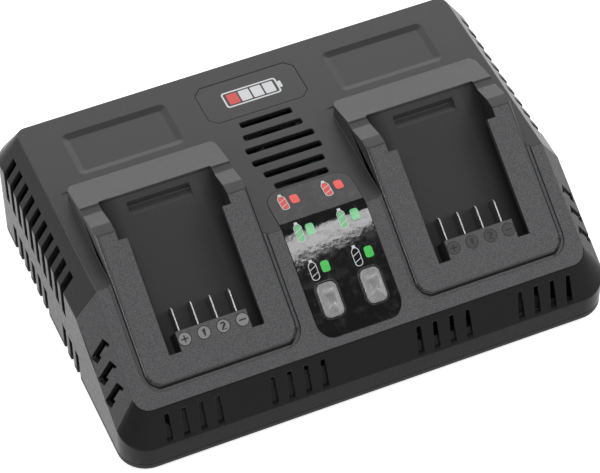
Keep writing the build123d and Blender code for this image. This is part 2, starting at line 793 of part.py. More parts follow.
switch_size = 6.0
switch_height = 3.6
plunger_r = 1.7
plunger_top = 1.2
plunger_deep = 1.3
flange = 1.0
flange_over = 1.0
plunger_over_travel = 0.4
stem_r = 2.4
plunger_top_depth = board_depth - switch_height - plunger_top
flange_top_depth = cover_under + fit
for side, place in button_places.items():
    with BuildPart() as button:
        with BuildSketch(bay_plane(0, flange_top_depth)):
            with Locations(place):
                RectangleRounded(button_width, button_length, button_corner_r)
        extrude(amount=flange_top_depth - bay_proud + button_proud)
        cap_top = button.faces().sort_by(Axis(bay_plane().origin, bay_plane().z_dir))[-1]
        chamfer(cap_top.edges(), button_edge)
        with BuildSketch(bay_plane(0, flange_top_depth + flange)):
            with Locations(place):
                RectangleRounded(
                    button_width + 2 * (fit + flange_over),
                    button_length + 2 * (fit + flange_over),
                    button_corner_r + flange_over,
                )
        extrude(amount=flange)
        with BuildSketch(bay_plane(0, plunger_top_depth)):
            with Locations(place):
                Circle(stem_r)
        extrude(amount=plunger_top_depth - flange_top_depth - flange)
    button.part.label = f"{side}_button"
    export_step(button.part, f"parts/{side}_button.step")

    with BuildPart() as switch:
        with BuildSketch(bay_plane(0, board_depth)):
            with Locations(place):
                Rectangle(switch_size, switch_size)
        extrude(amount=switch_height)
        with BuildSketch(bay_plane(0, board_depth - switch_height)):
            with Locations(place):
                Circle(plunger_r + fit)
        extrude(amount=-plunger_deep - button_travel - plunger_over_travel, mode=Mode.SUBTRACT)
    switch.part.label = f"{side}_switch"
    export_step(switch.part, f"parts/{side}_switch.step")

    with BuildPart() as plunger:
        with BuildSketch(bay_plane(0, plunger_top_depth)):
            with Locations(place):
                Circle(plunger_r)
        extrude(amount=-plunger_top - plunger_deep)
    plunger.part.label = f"{side}_switch_plunger"
    export_step(plunger.part, f"parts/{side}_switch_plunger.step")

# ---- indicator board ---------------------------------------------------------------------
indicator_half = 22.0
indicator_front_y = -84.0
indicator_rear_y = -13.0
led_body = (3.2, 2.8)
indicator_front_v = on_slope(indicator_front_y)
indicator_rear_v = along(indicator_rear_y, board_depth)
red_led_v = along(red_led_y, led_top_depth)
indicator_screw_length = 6.0

with BuildPart() as indicator_board:
    with BuildSketch(bay_plane(0, board_depth + board_thickness)):
        with Locations((0, centred(indicator_front_v, indicator_rear_v))):
            Rectangle(2 * indicator_half, indicator_rear_v - indicator_front_v)
        with Locations(*indicator_bosses):
            Circle(small_screw_r + touch_gap, mode=Mode.SUBTRACT)
    extrude(amount=board_thickness)
indicator_board.part.label = "indicator_board"
export_step(indicator_board.part, "parts/indicator_board.step")

with BuildPart() as indicator_leds:
    with BuildSketch(bay_plane(0, board_depth)):
        with Locations(*slope_leds, *[(x, red_led_v) for x in led_x]):
            Rectangle(*led_body)
    extrude(amount=led_height)
indicator_leds.part.label = "indicator_leds"
export_step(indicator_leds.part, "parts/indicator_leds.step")


def pan_screws(plane, places, length, shank_r=small_screw_r):
    """Pan-head screws with a cross recess, heads standing on the plane, shanks below it."""
    with BuildPart() as screws:
        with BuildSketch(plane):
            with Locations(*places):
                Circle(screw_head_r)
        extrude(amount=screw_head_height)
        with BuildSketch(plane.offset(screw_head_height - cross_deep)):
            with Locations(*places):
                Rectangle(screw_head_r, cross_width)
                Rectangle(cross_width, screw_head_r)
        extrude(amount=cross_deep, mode=Mode.SUBTRACT)
        with BuildSketch(plane):
            with Locations(*places):
                Circle(shank_r)
        extrude(amount=-length)
    return screws.part


def turned(plane):
    """The same plane seen from its other side, its x axis kept."""
    return Plane(origin=plane.origin, x_dir=plane.x_dir, z_dir=-plane.z_dir)


under_board = turned(bay_plane(0, board_depth + board_thickness))
with BuildPart() as indicator_screws:
    add(pan_screws(under_board, [(x, -v) for x, v in indicator_bosses], indicator_screw_length))
indicator_screws.part.label = "indicator_screws"
export_step(indicator_screws.part, "parts/indicator_screws.step")

# ---- terminal blocks and contact blades -----------------------------------------------------
carrier_top_depth = wall + 2 * fit
carrier_rear_v = tongue_rear_v - tongue_wall - fit
plate_depth = well_floor + terminal_boss
tail_length = 3.0
tail_run = 4.0
tail_v = blade_v_front + tail_run / 2
tail_end_depth = plate_depth + carrier_plate + tail_length
blade_tip_v = along(blade_tip_y, blade_top_depth)
blade_tip_chamfer = 1.2
plate_front_v = carrier_front_v
plate_rear_v = terminal_boss_v + terminal_boss_r
plate_half = terminal_boss_u + terminal_boss_r


def blade_form(x):
    """Contact blade with its solder tail, standing on edge along the slope."""
    with BuildPart() as blade:
        with BuildSketch(bay_plane(x, blade_top_depth + blade_height)):
            with Locations((0, centred(blade_v_front, blade_tip_v))):
                Rectangle(blade_thickness, blade_tip_v - blade_v_front)
        extrude(amount=blade_height)
        up_slope = Axis(bay_plane().origin, bay_plane().y_dir)
        chamfer(blade.edges().filter_by(Axis.X).sort_by(up_slope)[-2:], blade_tip_chamfer)
        with BuildSketch(bay_plane(x, tail_end_depth)):
            with Locations((0, tail_v)):
                Rectangle(blade_thickness, tail_run)
        extrude(amount=tail_end_depth - blade_top_depth - blade_height)
    return blade.part


for side, bay_x in bay_centres.items():
    for blade_name, blade_u in zip(blade_names, blade_places):
        with BuildPart() as contact_blade:
            add(blade_form(bay_x + blade_u))
        contact_blade.part.label = f"{side}_{blade_name}_blade"
        export_step(contact_blade.part, f"parts/{side}_{blade_name}_blade.step")

    with BuildPart() as terminal_block:
        with BuildSketch(bay_plane(bay_x, plate_depth)):
            with Locations((0, centred(carrier_front_v, carrier_rear_v))):
                Rectangle(2 * carrier_half, carrier_rear_v - carrier_front_v)
        extrude(amount=plate_depth - carrier_top_depth)
        with BuildSketch(bay_plane(bay_x, plate_depth + carrier_plate)):
            with Locations((0, centred(plate_front_v, plate_rear_v))):
                Rectangle(2 * plate_half, plate_rear_v - plate_front_v)
            with Locations((-terminal_boss_u, terminal_boss_v), (terminal_boss_u, terminal_boss_v)):
                Circle(small_screw_r + touch_gap, mode=Mode.SUBTRACT)
        extrude(amount=carrier_plate)
        for blade_u in blade_places:
            add(blade_form(bay_x + blade_u), mode=Mode.SUBTRACT)
    terminal_block.part.label = f"{side}_terminal_block"
    export_step(terminal_block.part, f"parts/{side}_terminal_block.step")

with BuildPart() as terminal_screws:
    for bay_x in bay_centres.values():
        screw_plane = turned(bay_plane(bay_x, plate_depth + carrier_plate))
        screw_v = -terminal_boss_v
        places = [(-terminal_boss_u, screw_v), (terminal_boss_u, screw_v)]
        add(pan_screws(screw_plane, places, carrier_plate + terminal_boss))
terminal_screws.part.label = "terminal_screws"
export_step(terminal_screws.part, "parts/terminal_screws.step")

# ---- fan ---------------------------------------------------------------------------------
bearing_r = 2.6
bearing_seat = 0.6
tube_r = 3.6
tube_height = 5.2
fan_plate = 1.6
fan_corner_r = 3.0
strut_width = 2.4
strut_count = 3
strut_end_r = centred(fan_bore_r, fan_size / 2)
rotor_gap = 0.8
cup_wall = 1.0
cup_gap = 0.4
shaft_gap = 0.4
plate_top = fan_bottom + fan_plate
rotor_top = fan_top - rotor_gap
cup_bottom = plate_top + cup_gap
cup_height = rotor_top - cup_bottom
bearing_bottom = plate_top - bearing_seat
bearing_top = plate_top + tube_height
stator_gap = 0.6
stator_r = hub_r - cup_wall - stator_gap
stator_height = 4.8
pole_count = 4
pole_width = 2.4
shoe_width = 7.0
shoe_depth = 1.2

with BuildPart() as fan_frame:
    with BuildSketch(Plane.XY.offset(fan_bottom)):
        with Locations((0, fan_y)):
            RectangleRounded(fan_size, fan_size, fan_corner_r)
            Circle(fan_bore_r, mode=Mode.SUBTRACT)
        with Locations(*fan_posts):
            Circle(screw_r + touch_gap, mode=Mode.SUBTRACT)
    extrude(amount=fan_height)
    with BuildSketch(Plane.XY.offset(fan_bottom)):
        with Locations((0, fan_y)):
            Circle(hub_r)
            with PolarLocations(centred(tube_r, strut_end_r), strut_count, start_angle=30):
                Rectangle(strut_end_r - tube_r, strut_width)
    extrude(amount=fan_plate)
    with BuildSketch(Plane.XY.offset(plate_top)):
        with Locations((0, fan_y)):
            Circle(tube_r)
    extrude(amount=tube_height)
    with BuildSketch(Plane.XY.offset(bearing_bottom)):
        with Locations((0, fan_y)):
            Circle(bearing_r)
    extrude(amount=fan_height, mode=Mode.SUBTRACT)
fan_frame.part.label = "fan_frame"
export_step(fan_frame.part, "parts/fan_frame.step")

with BuildPart() as fan_bearing:
    with BuildSketch(Plane.XY.offset(bearing_bottom)):
        with Locations((0, fan_y)):
            Circle(bearing_r)
            Circle(shaft_r + running_fit, mode=Mode.SUBTRACT)
    extrude(amount=bearing_top - bearing_bottom)
fan_bearing.part.label = "fan_bearing"
export_step(fan_bearing.part, "parts/fan_bearing.step")

with BuildPart() as fan_stator:
    with BuildSketch(Plane.XY.offset(plate_top)):
        with Locations((0, fan_y)):
            Circle(tube_r + shoe_depth)
            with PolarLocations(centred(tube_r, stator_r), pole_count):
                Rectangle(stator_r - tube_r, pole_width)
            with PolarLocations(stator_r - shoe_depth, pole_count):
                Rectangle(shoe_depth, shoe_width)
            Circle(tube_r, mode=Mode.SUBTRACT)
    extrude(amount=stator_height)
fan_stator.part.label = "fan_stator"
export_step(fan_stator.part, "parts/fan_stator.step")

blade_reach = 3.0          # half the run of a fan blade around the hub
blade_pitch_rise = 2.2     # half the height that it climbs
fan_blade_thickness = 1.0
fan_blade_root = hub_r - cup_wall / 2
with BuildPart() as fan_rotor:
    with BuildSketch(Plane.XY.offset(cup_bottom)):
        with Locations((0, fan_y)):
            Circle(hub_r)
    extrude(amount=cup_height)
    fillet(fan_rotor.faces().sort_by(Axis.Z)[-1].edges(), 0.8 * cup_wall)
    with BuildSketch(Plane.XY.offset(cup_bottom)):
        with Locations((0, fan_y)):
            Circle(hub_r - cup_wall)
    extrude(amount=cup_height - cup_wall, mode=Mode.SUBTRACT)
    with BuildSketch(Plane.XY.offset(bearing_bottom + shaft_gap)):
        with Locations((0, fan_y)):
            Circle(shaft_r)
    extrude(amount=rotor_top - cup_wall / 2 - bearing_bottom - shaft_gap)
    for turn in range(blade_count):
        heading = radians(360.0 * turn / blade_count)
        blade_plane = Plane(
            origin=(0, fan_y, centred(cup_bottom, rotor_top)),
            x_dir=(cos(heading), sin(heading), 0),
            z_dir=(-sin(heading), cos(heading), 0),
        )
        ends = []
        for step in (-1, 1):
            with BuildSketch(blade_plane.offset(step * blade_reach)) as blade_end:
                with Locations((centred(fan_blade_root, rotor_r), -step * blade_pitch_rise)):
                    Rectangle(rotor_r - fan_blade_root, fan_blade_thickness)
            ends.append(blade_end.sketch)
        loft(sections=ends, ruled=True)
fan_rotor.part.label = "fan_rotor"
export_step(fan_rotor.part, "parts/fan_rotor.step")

below_fan = turned(Plane.XY.offset(fan_bottom))
fan_screw_length = fan_height + fan_post - touch_gap
with BuildPart() as fan_screws:
    add(pan_screws(below_fan, [(x, -y) for x, y in fan_posts], fan_screw_length))
fan_screws.part.label = "fan_screws"
export_step(fan_screws.part, "parts/fan_screws.step")

# ---- main board ----------------------------------------------------------------------------
board_screw_length = 6.6
with BuildPart() as main_board:
    with BuildSketch(Plane.XY.offset(main_board_z)):
        with Locations((0, main_board_y)):
            Rectangle(main_board_width, main_board_depth)
        with Locations(*standoff_places):
            Circle(small_screw_r + touch_gap, mode=Mode.SUBTRACT)
    extrude(amount=board_thickness)
main_board.part.label = "main_board"
export_step(main_board.part, "parts/main_board.step")

with BuildPart() as board_screws:
    add(pan_screws(Plane.XY.offset(main_board_top), standoff_places, board_screw_length))
board_screws.part.label = "board_screws"
export_step(board_screws.part, "parts/board_screws.step")

case_screw_length = boss_foot_z + case_bore_deep - counterbore_top - past
below_base = turned(Plane.XY.offset(counterbore_top))
with BuildPart() as case_screws:
    add(pan_screws(below_base, [(x, -y) for x, y in boss_places], case_screw_length, screw_r))
case_screws.part.label = "case_screws"
export_step(case_screws.part, "parts/case_screws.step")

# ---- mains side of the main board ------------------------------------------------------------
leg_r = 0.4
inlet_place = (0.0, 70.0)
inlet_size = (18.0, 10.0, 14.0)
inlet_bore_r = 2.2
inlet_bore_pitch = inlet_size[0] / 2
with BuildPart() as inlet_connector:
    with BuildSketch(Plane.XY.offset(main_board_top)):
        with Locations(inlet_place):
            Rectangle(inlet_size[0], inlet_size[1])
    extrude(amount=inlet_size[2])
    with BuildSketch(Plane.XZ.offset(-inlet_place[1] - inlet_size[1] / 2)):
        with Locations((0, main_board_top + inlet_size[2] / 2)):
            with GridLocations(inlet_bore_pitch, inlet_bore_pitch, 2, 1):
                Circle(inlet_bore_r)
    extrude(amount=inlet_size[1] / 2, mode=Mode.SUBTRACT)
inlet_connector.part.label = "inlet_connector"
export_step(inlet_connector.part, "parts/inlet_connector.step")

fuse_place = (-20.0, 66.0)
fuse_length = 20.0
fuse_glass_r = 2.6
fuse_cap_r = 3.0
fuse_cap_length = 5.0
fuse_lift = 4.6
fuse_clip = (3.4, 5.0)
fuse_clip_spacing = 15.0
with BuildPart() as fuse:
    with BuildSketch(Plane.YZ.offset(fuse_place[0] - fuse_length / 2)):
        with Locations((fuse_place[1], main_board_top + fuse_lift)):
            Circle(fuse_glass_r)
    extrude(amount=fuse_length)
    for cap_x in (fuse_place[0] - fuse_length / 2, fuse_place[0] + fuse_length / 2 - fuse_cap_length):
        with BuildSketch(Plane.YZ.offset(cap_x)):
            with Locations((fuse_place[1], main_board_top + fuse_lift)):
                Circle(fuse_cap_r)
        extrude(amount=fuse_cap_length)
    with BuildSketch(Plane.XY.offset(main_board_top)):
        with Locations(fuse_place):
            with GridLocations(fuse_clip_spacing, fuse_clip_spacing, 2, 1):
                Rectangle(*fuse_clip)
    extrude(amount=fuse_lift)
fuse.part.label = "fuse"
export_step(fuse.part, "parts/fuse.step")

varistor_place = (-40.0, 70.0)
varistor_r = 7.0
varistor_thickness = 4.4
varistor_lift = 2.0
with BuildPart() as varistor:
    with BuildSketch(Plane.XZ.offset(-varistor_place[1] - varistor_thickness / 2)):
        with Locations((varistor_place[0], main_board_top + varistor_lift + varistor_r)):
            Circle(varistor_r)
    extrude(amount=varistor_thickness)
    fillet(varistor.edges().filter_by(GeomType.CIRCLE), varistor_thickness / 4)
    with BuildSketch(Plane.XY.offset(main_board_top)):
        with Locations(varistor_place):
            with GridLocations(varistor_r, varistor_r, 2, 1):
                Circle(leg_r)
    extrude(amount=varistor_lift + varistor_r)
varistor.part.label = "varistor"
export_step(varistor.part, "parts/varistor.step")

x_capacitor_place = (-38.0, 56.0)
x_capacitor_size = (18.0, 8.0, 14.0)
x_capacitor_edge = 1.0
with BuildPart() as x_capacitor:
    with BuildSketch(Plane.XY.offset(main_board_top)):
        with Locations(x_capacitor_place):
            RectangleRounded(x_capacitor_size[0], x_capacitor_size[1], x_capacitor_edge)
    extrude(amount=x_capacitor_size[2])
x_capacitor.part.label = "x_capacitor"
export_step(x_capacitor.part, "parts/x_capacitor.step")

choke_place = (-62.0, 60.0)
choke_outer_r = 11.0
choke_inner_r = 5.5
choke_height = 9.0
choke_wire = 1.4
choke_gap = 5.0
with BuildPart() as mains_choke_core:
    with BuildSketch(Plane.XY.offset(main_board_top + choke_wire)):
        with Locations(choke_place):
            Circle(choke_outer_r)
            Circle(choke_inner_r, mode=Mode.SUBTRACT)
    extrude(amount=choke_height)
mains_choke_core.part.label = "mains_choke_core"
export_step(mains_choke_core.part, "parts/mains_choke_core.step")

with BuildPart() as mains_choke_winding:
    with BuildSketch(Plane.XY.offset(main_board_top)):
        with Locations(choke_place):
            Circle(choke_outer_r + choke_wire)
            Circle(choke_inner_r - choke_wire, mode=Mode.SUBTRACT)
            Rectangle(choke_gap, 2 * (choke_outer_r + choke_wire), mode=Mode.SUBTRACT)
    extrude(amount=choke_height + 2 * choke_wire)
    add(mains_choke_core.part, mode=Mode.SUBTRACT)
mains_choke_winding.part.label = "mains_choke_winding"
export_step(mains_choke_winding.part, "parts/mains_choke_winding.step")

bridge_place = (-85.0, 60.0)
bridge_size = (20.0, 4.0, 15.0)
bridge_lift = 3.0
bridge_leg_pitch = 5.0
bridge_hole_r = 1.7
with BuildPart() as bridge_rectifier:
    with BuildSketch(Plane.XY.offset(main_board_top + bridge_lift)):
        with Locations(bridge_place):
            Rectangle(bridge_size[0], bridge_size[1])
    extrude(amount=bridge_size[2])
    with BuildSketch(Plane.XZ.offset(-bridge_place[1] - bridge_size[1] / 2)):
        with Locations((bridge_place[0], main_board_top + bridge_lift + bridge_size[2] / 2)):
            Circle(bridge_hole_r)
    extrude(amount=bridge_size[1], mode=Mode.SUBTRACT)
    with BuildSketch(Plane.XY.offset(main_board_top)):
        with Locations(bridge_place):
            with GridLocations(bridge_leg_pitch, bridge_leg_pitch, 4, 1):
                Circle(leg_r)
    extrude(amount=bridge_lift)
bridge_rectifier.part.label = "bridge_rectifier"
export_step(bridge_rectifier.part, "parts/bridge_rectifier.step")


def can_capacitors(places, radius, height):
    """Upright round capacitors with the rolled groove above their foot."""
    groove = radius / 12
    groove_z = radius / 3
    with BuildPart() as cans:
        with BuildSketch(Plane.XY.offset(main_board_top)):
            with Locations(*places):
                Circle(radius)
        extrude(amount=height)
        fillet(cans.faces().group_by(Axis.Z)[-1].edges(), radius / 8)
        with BuildSketch(Plane.XY.offset(main_board_top + groove_z)):
            with Locations(*places):
                Circle(radius)
                Circle(radius - groove, mode=Mode.SUBTRACT)
        extrude(amount=2 * groove, mode=Mode.SUBTRACT)
    return cans.part


bulk_places = [(-80.0, 35.0), (-58.0, 35.0)]
bulk_r = 9.0
bulk_height = 32.0
with BuildPart() as bulk_capacitors:
    add(can_capacitors(bulk_places, bulk_r, bulk_height))
bulk_capacitors.part.label = "bulk_capacitors"
export_step(bulk_capacitors.part, "parts/bulk_capacitors.step")

# ---- power stage -----------------------------------------------------------------------------
heatsink_x = 60.0
heatsink_front_y = 9.0
heatsink_length = 50.0
heatsink_height = 35.0
heatsink_plate = 2.5
fin_count = 8
fin_depth = 6.0
fin_thickness = 1.2
fin_pitch = (heatsink_length - fin_thickness) / (fin_count - 1)
package_spacing = 22.0
package_size = (10.0, 4.4, 9.2)
tab_size = (10.0, 1.3, 15.6)
package_lift = 5.0
package_leg_pitch = 2.54


def heatsink(x):
    """Finned aluminium plate that stands on the main board."""
    with BuildPart() as sink:
        with BuildSketch(Plane.XY.offset(main_board_top)):
            with Locations((x, heatsink_front_y + heatsink_plate / 2)):
                Rectangle(heatsink_length, heatsink_plate)
            with Locations((x, heatsink_front_y + heatsink_plate + fin_depth / 2)):
                with GridLocations(fin_pitch, fin_pitch, fin_count, 1):
                    Rectangle(fin_thickness, fin_depth)
        extrude(amount=heatsink_height)
    return sink.part


def power_packages(x):
    """Two tabbed power packages on the plain face of a heatsink."""
    body_y = heatsink_front_y - package_size[1] / 2
    with BuildPart() as packages:
        with BuildSketch(Plane.XY.offset(main_board_top + package_lift)):
            with Locations((x, body_y)):
                with GridLocations(package_spacing, package_spacing, 2, 1):
                    Rectangle(package_size[0], package_size[1])
        extrude(amount=package_size[2])
        with BuildSketch(Plane.XY.offset(main_board_top + package_lift)):
            with Locations((x, heatsink_front_y - tab_size[1] / 2)):
                with GridLocations(package_spacing, package_spacing, 2, 1):
                    Rectangle(tab_size[0], tab_size[1])
        extrude(amount=tab_size[2])
        with BuildSketch(Plane.XY.offset(main_board_top)):
            for package_x in (x - package_spacing / 2, x + package_spacing / 2):
                with Locations((package_x, body_y)):
                    with GridLocations(package_leg_pitch, package_leg_pitch, 3, 1):
                        Circle(leg_r)
        extrude(amount=package_lift)
    return packages.part


with BuildPart() as primary_heatsink:
    add(heatsink(-heatsink_x))
primary_heatsink.part.label = "primary_heatsink"
export_step(primary_heatsink.part, "parts/primary_heatsink.step")

with BuildPart() as secondary_heatsink:
    add(heatsink(heatsink_x))
secondary_heatsink.part.label = "secondary_heatsink"
export_step(secondary_heatsink.part, "parts/secondary_heatsink.step")

with BuildPart() as power_transistors:
    add(power_packages(-heatsink_x))
power_transistors.part.label = "power_transistors"
export_step(power_transistors.part, "parts/power_transistors.step")

with BuildPart() as output_rectifiers:
    add(power_packages(heatsink_x))
output_rectifiers.part.label = "output_rectifiers"
export_step(output_rectifiers.part, "parts/output_rectifiers.step")

core_width = 42.0
core_depth = 18.0
core_height = 32.0
core_yoke = 5.5
core_leg = 13.0
core_outer_leg = 6.5
winding_depth = 36.0
window_width = (core_width - core_leg) / 2 - core_outer_leg
window_height = core_height - 2 * core_yoke
window_pitch = core_leg + window_width
with BuildPart() as transformer_core:
    with BuildSketch(Plane.XZ.offset(-main_board_y - core_depth / 2)):
        with Locations((0, main_board_top + core_height / 2)):
            Rectangle(core_width, core_height)
            with GridLocations(window_pitch, window_pitch, 2, 1):
                Rectangle(window_width, window_height, mode=Mode.SUBTRACT)
    extrude(amount=core_depth)
transformer_core.part.label = "transformer_core"
export_step(transformer_core.part, "parts/transformer_core.step")

with BuildPart() as transformer_winding:
    with BuildSketch(Plane.XY.offset(main_board_top + core_yoke)):
        with Locations((0, main_board_y)):
            RectangleRounded(core_leg + 2 * (window_width - touch_gap), winding_depth, core_yoke)
    extrude(amount=window_height)
    add(transformer_core.part, mode=Mode.SUBTRACT)
transformer_winding.part.label = "transformer_winding"
export_step(transformer_winding.part, "parts/transformer_winding.step")

output_can_places = [(x, 35.0) for x in (45.0, 60.0, 75.0, 90.0)]
output_can_r = 5.0
output_can_height = 20.0
with BuildPart() as output_capacitors:
    add(can_capacitors(output_can_places, output_can_r, output_can_height))
output_capacitors.part.label = "output_capacitors"
export_step(output_capacitors.part, "parts/output_capacitors.step")

chip_places = {(30.0, -26.0): (10.0, 10.0), (-30.0, -26.0): (8.0, 6.0)}
chip_places.update({(-62.0, -28.0): (8.0, 6.0), (62.0, -28.0): (8.0, 6.0)})
chip_height = 1.6
with BuildPart() as control_chips:
    with BuildSketch(Plane.XY.offset(main_board_top)):
        for chip_place, chip_size in chip_places.items():
            with Locations(chip_place):
                Rectangle(*chip_size)
    extrude(amount=chip_height)
control_chips.part.label = "control_chips"
export_step(control_chips.part, "parts/control_chips.step")

# ---- headers and leads -------------------------------------------------------------------------
header_depth = 5.0
header_top = main_board_top + header_height
ribbon_y = -31.3
ribbon_width = 10.0
ribbon_thickness = 0.9
socket_width = 14.0
socket_depth = 5.0
socket_height = 3.0
socket_y = -42.0
fan_lead_x = 30.0
fan_lead_y = (5.0, 7.5)
fan_lead_r = 0.65
fan_header_size = (6.0, 7.0)
fan_header_height = 5.0
under_indicator = board_depth + board_thickness
socket_v = along(socket_y, under_indicator)

with BuildPart() as terminal_headers:
    with BuildSketch(Plane.XY.offset(main_board_top)):
        for bay_x in bay_centres.values():
            with Locations((bay_x, header_y)):
                Rectangle(header_width, header_depth)
    extrude(amount=header_height)
terminal_headers.part.label = "terminal_headers"
export_step(terminal_headers.part, "parts/terminal_headers.step")

with BuildPart() as ribbon_sockets:
    with BuildSketch(Plane.XY.offset(main_board_top)):
        with Locations((0, ribbon_y)):
            Rectangle(socket_width, socket_depth)
    extrude(amount=socket_height)
    with BuildSketch(bay_plane(0, under_indicator + socket_height)):
        with Locations((0, socket_v)):
            Rectangle(socket_width, socket_depth)
    extrude(amount=socket_height)
ribbon_sockets.part.label = "ribbon_sockets"
export_step(ribbon_sockets.part, "parts/ribbon_sockets.step")

with BuildPart() as fan_header:
    with BuildSketch(Plane.XY.offset(main_board_top)):
        with Locations((fan_lead_x, centred(*fan_lead_y))):
            Rectangle(*fan_header_size)
    extrude(amount=fan_header_height)
fan_header.part.label = "fan_header"
export_step(fan_header.part, "parts/fan_header.step")


def bend_radii(points):
    """The largest arc at each corner of a route that leaves part of both runs straight."""
    radii = []
    for before, corner, after in zip(points, points[1:], points[2:]):
        arriving = Vector(*corner) - Vector(*before)
        leaving = Vector(*after) - Vector(*corner)
        half_turn = radians(arriving.get_angle(leaving)) / 2
        radii.append(0.45 * min(arriving.length, leaving.length) / tan(half_turn))
    return radii


def lead_start(points):
    """Plane across the first run of a route, its x axis level."""
    run = Vector(*points[1]) - Vector(*points[0])
    level = (1, 0, 0) if abs(run.X) < touch_gap else (0, 1, 0)
    return Plane(origin=points[0], x_dir=level, z_dir=run.normalized())


def lead_tube(points, radius):
    """Round lead along a route."""
    with BuildPart() as tube:
        with BuildLine() as route:
            FilletPolyline(*points, radius=bend_radii(points))
        with BuildSketch(lead_start(points)):
            Circle(radius)
        sweep(path=route.line)
    return tube.part


def drop_route(plane, start_v, end_y, end_z):
    """Route that leaves a plane square to it, then drops straight down to a header."""
    start = plane.from_local_coords((0, start_v, 0))
    bend_z = start.Z - (end_y - start.Y) / rise
    return [(start.X, start.Y, start.Z), (start.X, end_y, bend_z), (start.X, end_y, end_z)]


lead_routes = {}
for side, bay_x in bay_centres.items():
    with BuildPart() as terminal_leads:
        for blade_name, blade_u in zip(blade_names, blade_places):
            tail_plane = bay_plane(bay_x + blade_u, tail_end_depth)
            route_points = drop_route(tail_plane, tail_v, header_y, header_top)
            lead_routes[f"{side}_{blade_name}"] = (route_points, lead_r)
            add(lead_tube(route_points, lead_r))
    terminal_leads.part.label = f"{side}_terminal_leads"
    export_step(terminal_leads.part, f"parts/{side}_terminal_leads.step")

with BuildPart() as fan_leads:
    for lead_y in fan_lead_y:
        route_points = [
            (fan_size / 2, lead_y, fan_bottom + 3.5),
            (fan_lead_x - 1.5, lead_y, fan_bottom + 3.5),
            (fan_lead_x + 2.5, lead_y, fan_bottom - 5.5),
            (fan_lead_x + 2.0, lead_y, fan_bottom - 16.0),
            (fan_lead_x, lead_y, fan_bottom - 26.5),
            (fan_lead_x, lead_y, main_board_top + fan_header_height),
        ]
        lead_routes[f"fan_{lead_y}"] = (route_points, fan_lead_r)
        add(lead_tube(route_points, fan_lead_r))
fan_leads.part.label = "fan_leads"
export_step(fan_leads.part, "parts/fan_leads.step")

ribbon_plane = bay_plane(0, under_indicator + socket_height)
ribbon_route = drop_route(ribbon_plane, socket_v, ribbon_y, main_board_top + socket_height)
lead_routes["indicator_ribbon"] = (ribbon_route, ribbon_thickness / 2)
with BuildPart() as indicator_ribbon:
    with BuildLine() as ribbon_line:
        FilletPolyline(*ribbon_route, radius=bend_radii(ribbon_route))
    with BuildSketch(lead_start(ribbon_route)):
        Rectangle(ribbon_width, ribbon_thickness)
    sweep(path=ribbon_line.line)
indicator_ribbon.part.label = "indicator_ribbon"
export_step(indicator_ribbon.part, "parts/indicator_ribbon.step")

for route_name, (route_points, route_r) in lead_routes.items():
    radii = [round(radius, 1) for radius in bend_radii(route_points)]
    print(f"{route_name}: bend radii {radii} mm on a lead {2 * route_r} mm thick")

# ---- cable inlet grommet -----------------------------------------------------------------------
collar = 3.0
sleeve_r = 5.6
sleeve_length = 13.0
with BuildPart() as inlet_grommet:
    with BuildSketch(Plane.XZ.offset(-half_depth)):
        with Locations((0, gland_z)):
            Circle(gland_flange_r)
    extrude(amount=gland_flange)
    with BuildSketch(Plane.XZ.offset(-half_depth)):
        with Locations((0, gland_z)):
            Circle(gland_neck_r)
    extrude(amount=wall)
    with BuildSketch(Plane.XZ.offset(-half_depth + wall)):
        with Locations((0, gland_z)):
            Circle(gland_flange_r)
    extrude(amount=collar)
    with BuildSketch(Plane.XZ.offset(-half_depth)):
        with Locations((0, gland_z)):
            Circle(sleeve_r)
    extrude(amount=sleeve_length)
    with BuildSketch(Plane.XZ.offset(-half_depth)):
        with Locations((0, gland_z)):
            Circle(gland_bore_r)
    extrude(amount=sleeve_length, mode=Mode.SUBTRACT)
inlet_grommet.part.label = "inlet_grommet"
export_step(inlet_grommet.part, "parts/inlet_grommet.step")
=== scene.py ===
"""Looks of a dual-bay charger for slide-on power tool batteries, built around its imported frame.

Lengths in the tables below are in millimetres, in the frame of the charger: +X to the
right, +Y to the rear, +Z up, with the origin under the middle of the case.
"""
import math

import bmesh
import bpy
from bpy.props import FloatProperty, FloatVectorProperty, PointerProperty
from mathutils import Matrix, Vector


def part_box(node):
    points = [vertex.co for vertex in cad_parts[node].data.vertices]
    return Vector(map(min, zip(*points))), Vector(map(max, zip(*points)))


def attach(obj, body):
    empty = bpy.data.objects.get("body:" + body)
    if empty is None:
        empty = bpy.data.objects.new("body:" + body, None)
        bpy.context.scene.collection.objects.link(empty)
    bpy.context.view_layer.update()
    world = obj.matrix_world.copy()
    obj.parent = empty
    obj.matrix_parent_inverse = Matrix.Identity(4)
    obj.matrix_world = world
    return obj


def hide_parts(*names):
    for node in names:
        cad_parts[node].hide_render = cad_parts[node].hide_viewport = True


bl_info = {
    "name": "Dual-bay battery charger",
    "version": (1, 0, 0),
    "blender": (4, 5, 0),
    "location": "View3D > Sidebar > Charger",
    "description": "Builds the housing, bays, indicator panel, fan and boards of a charger",
    "category": "Object",
}

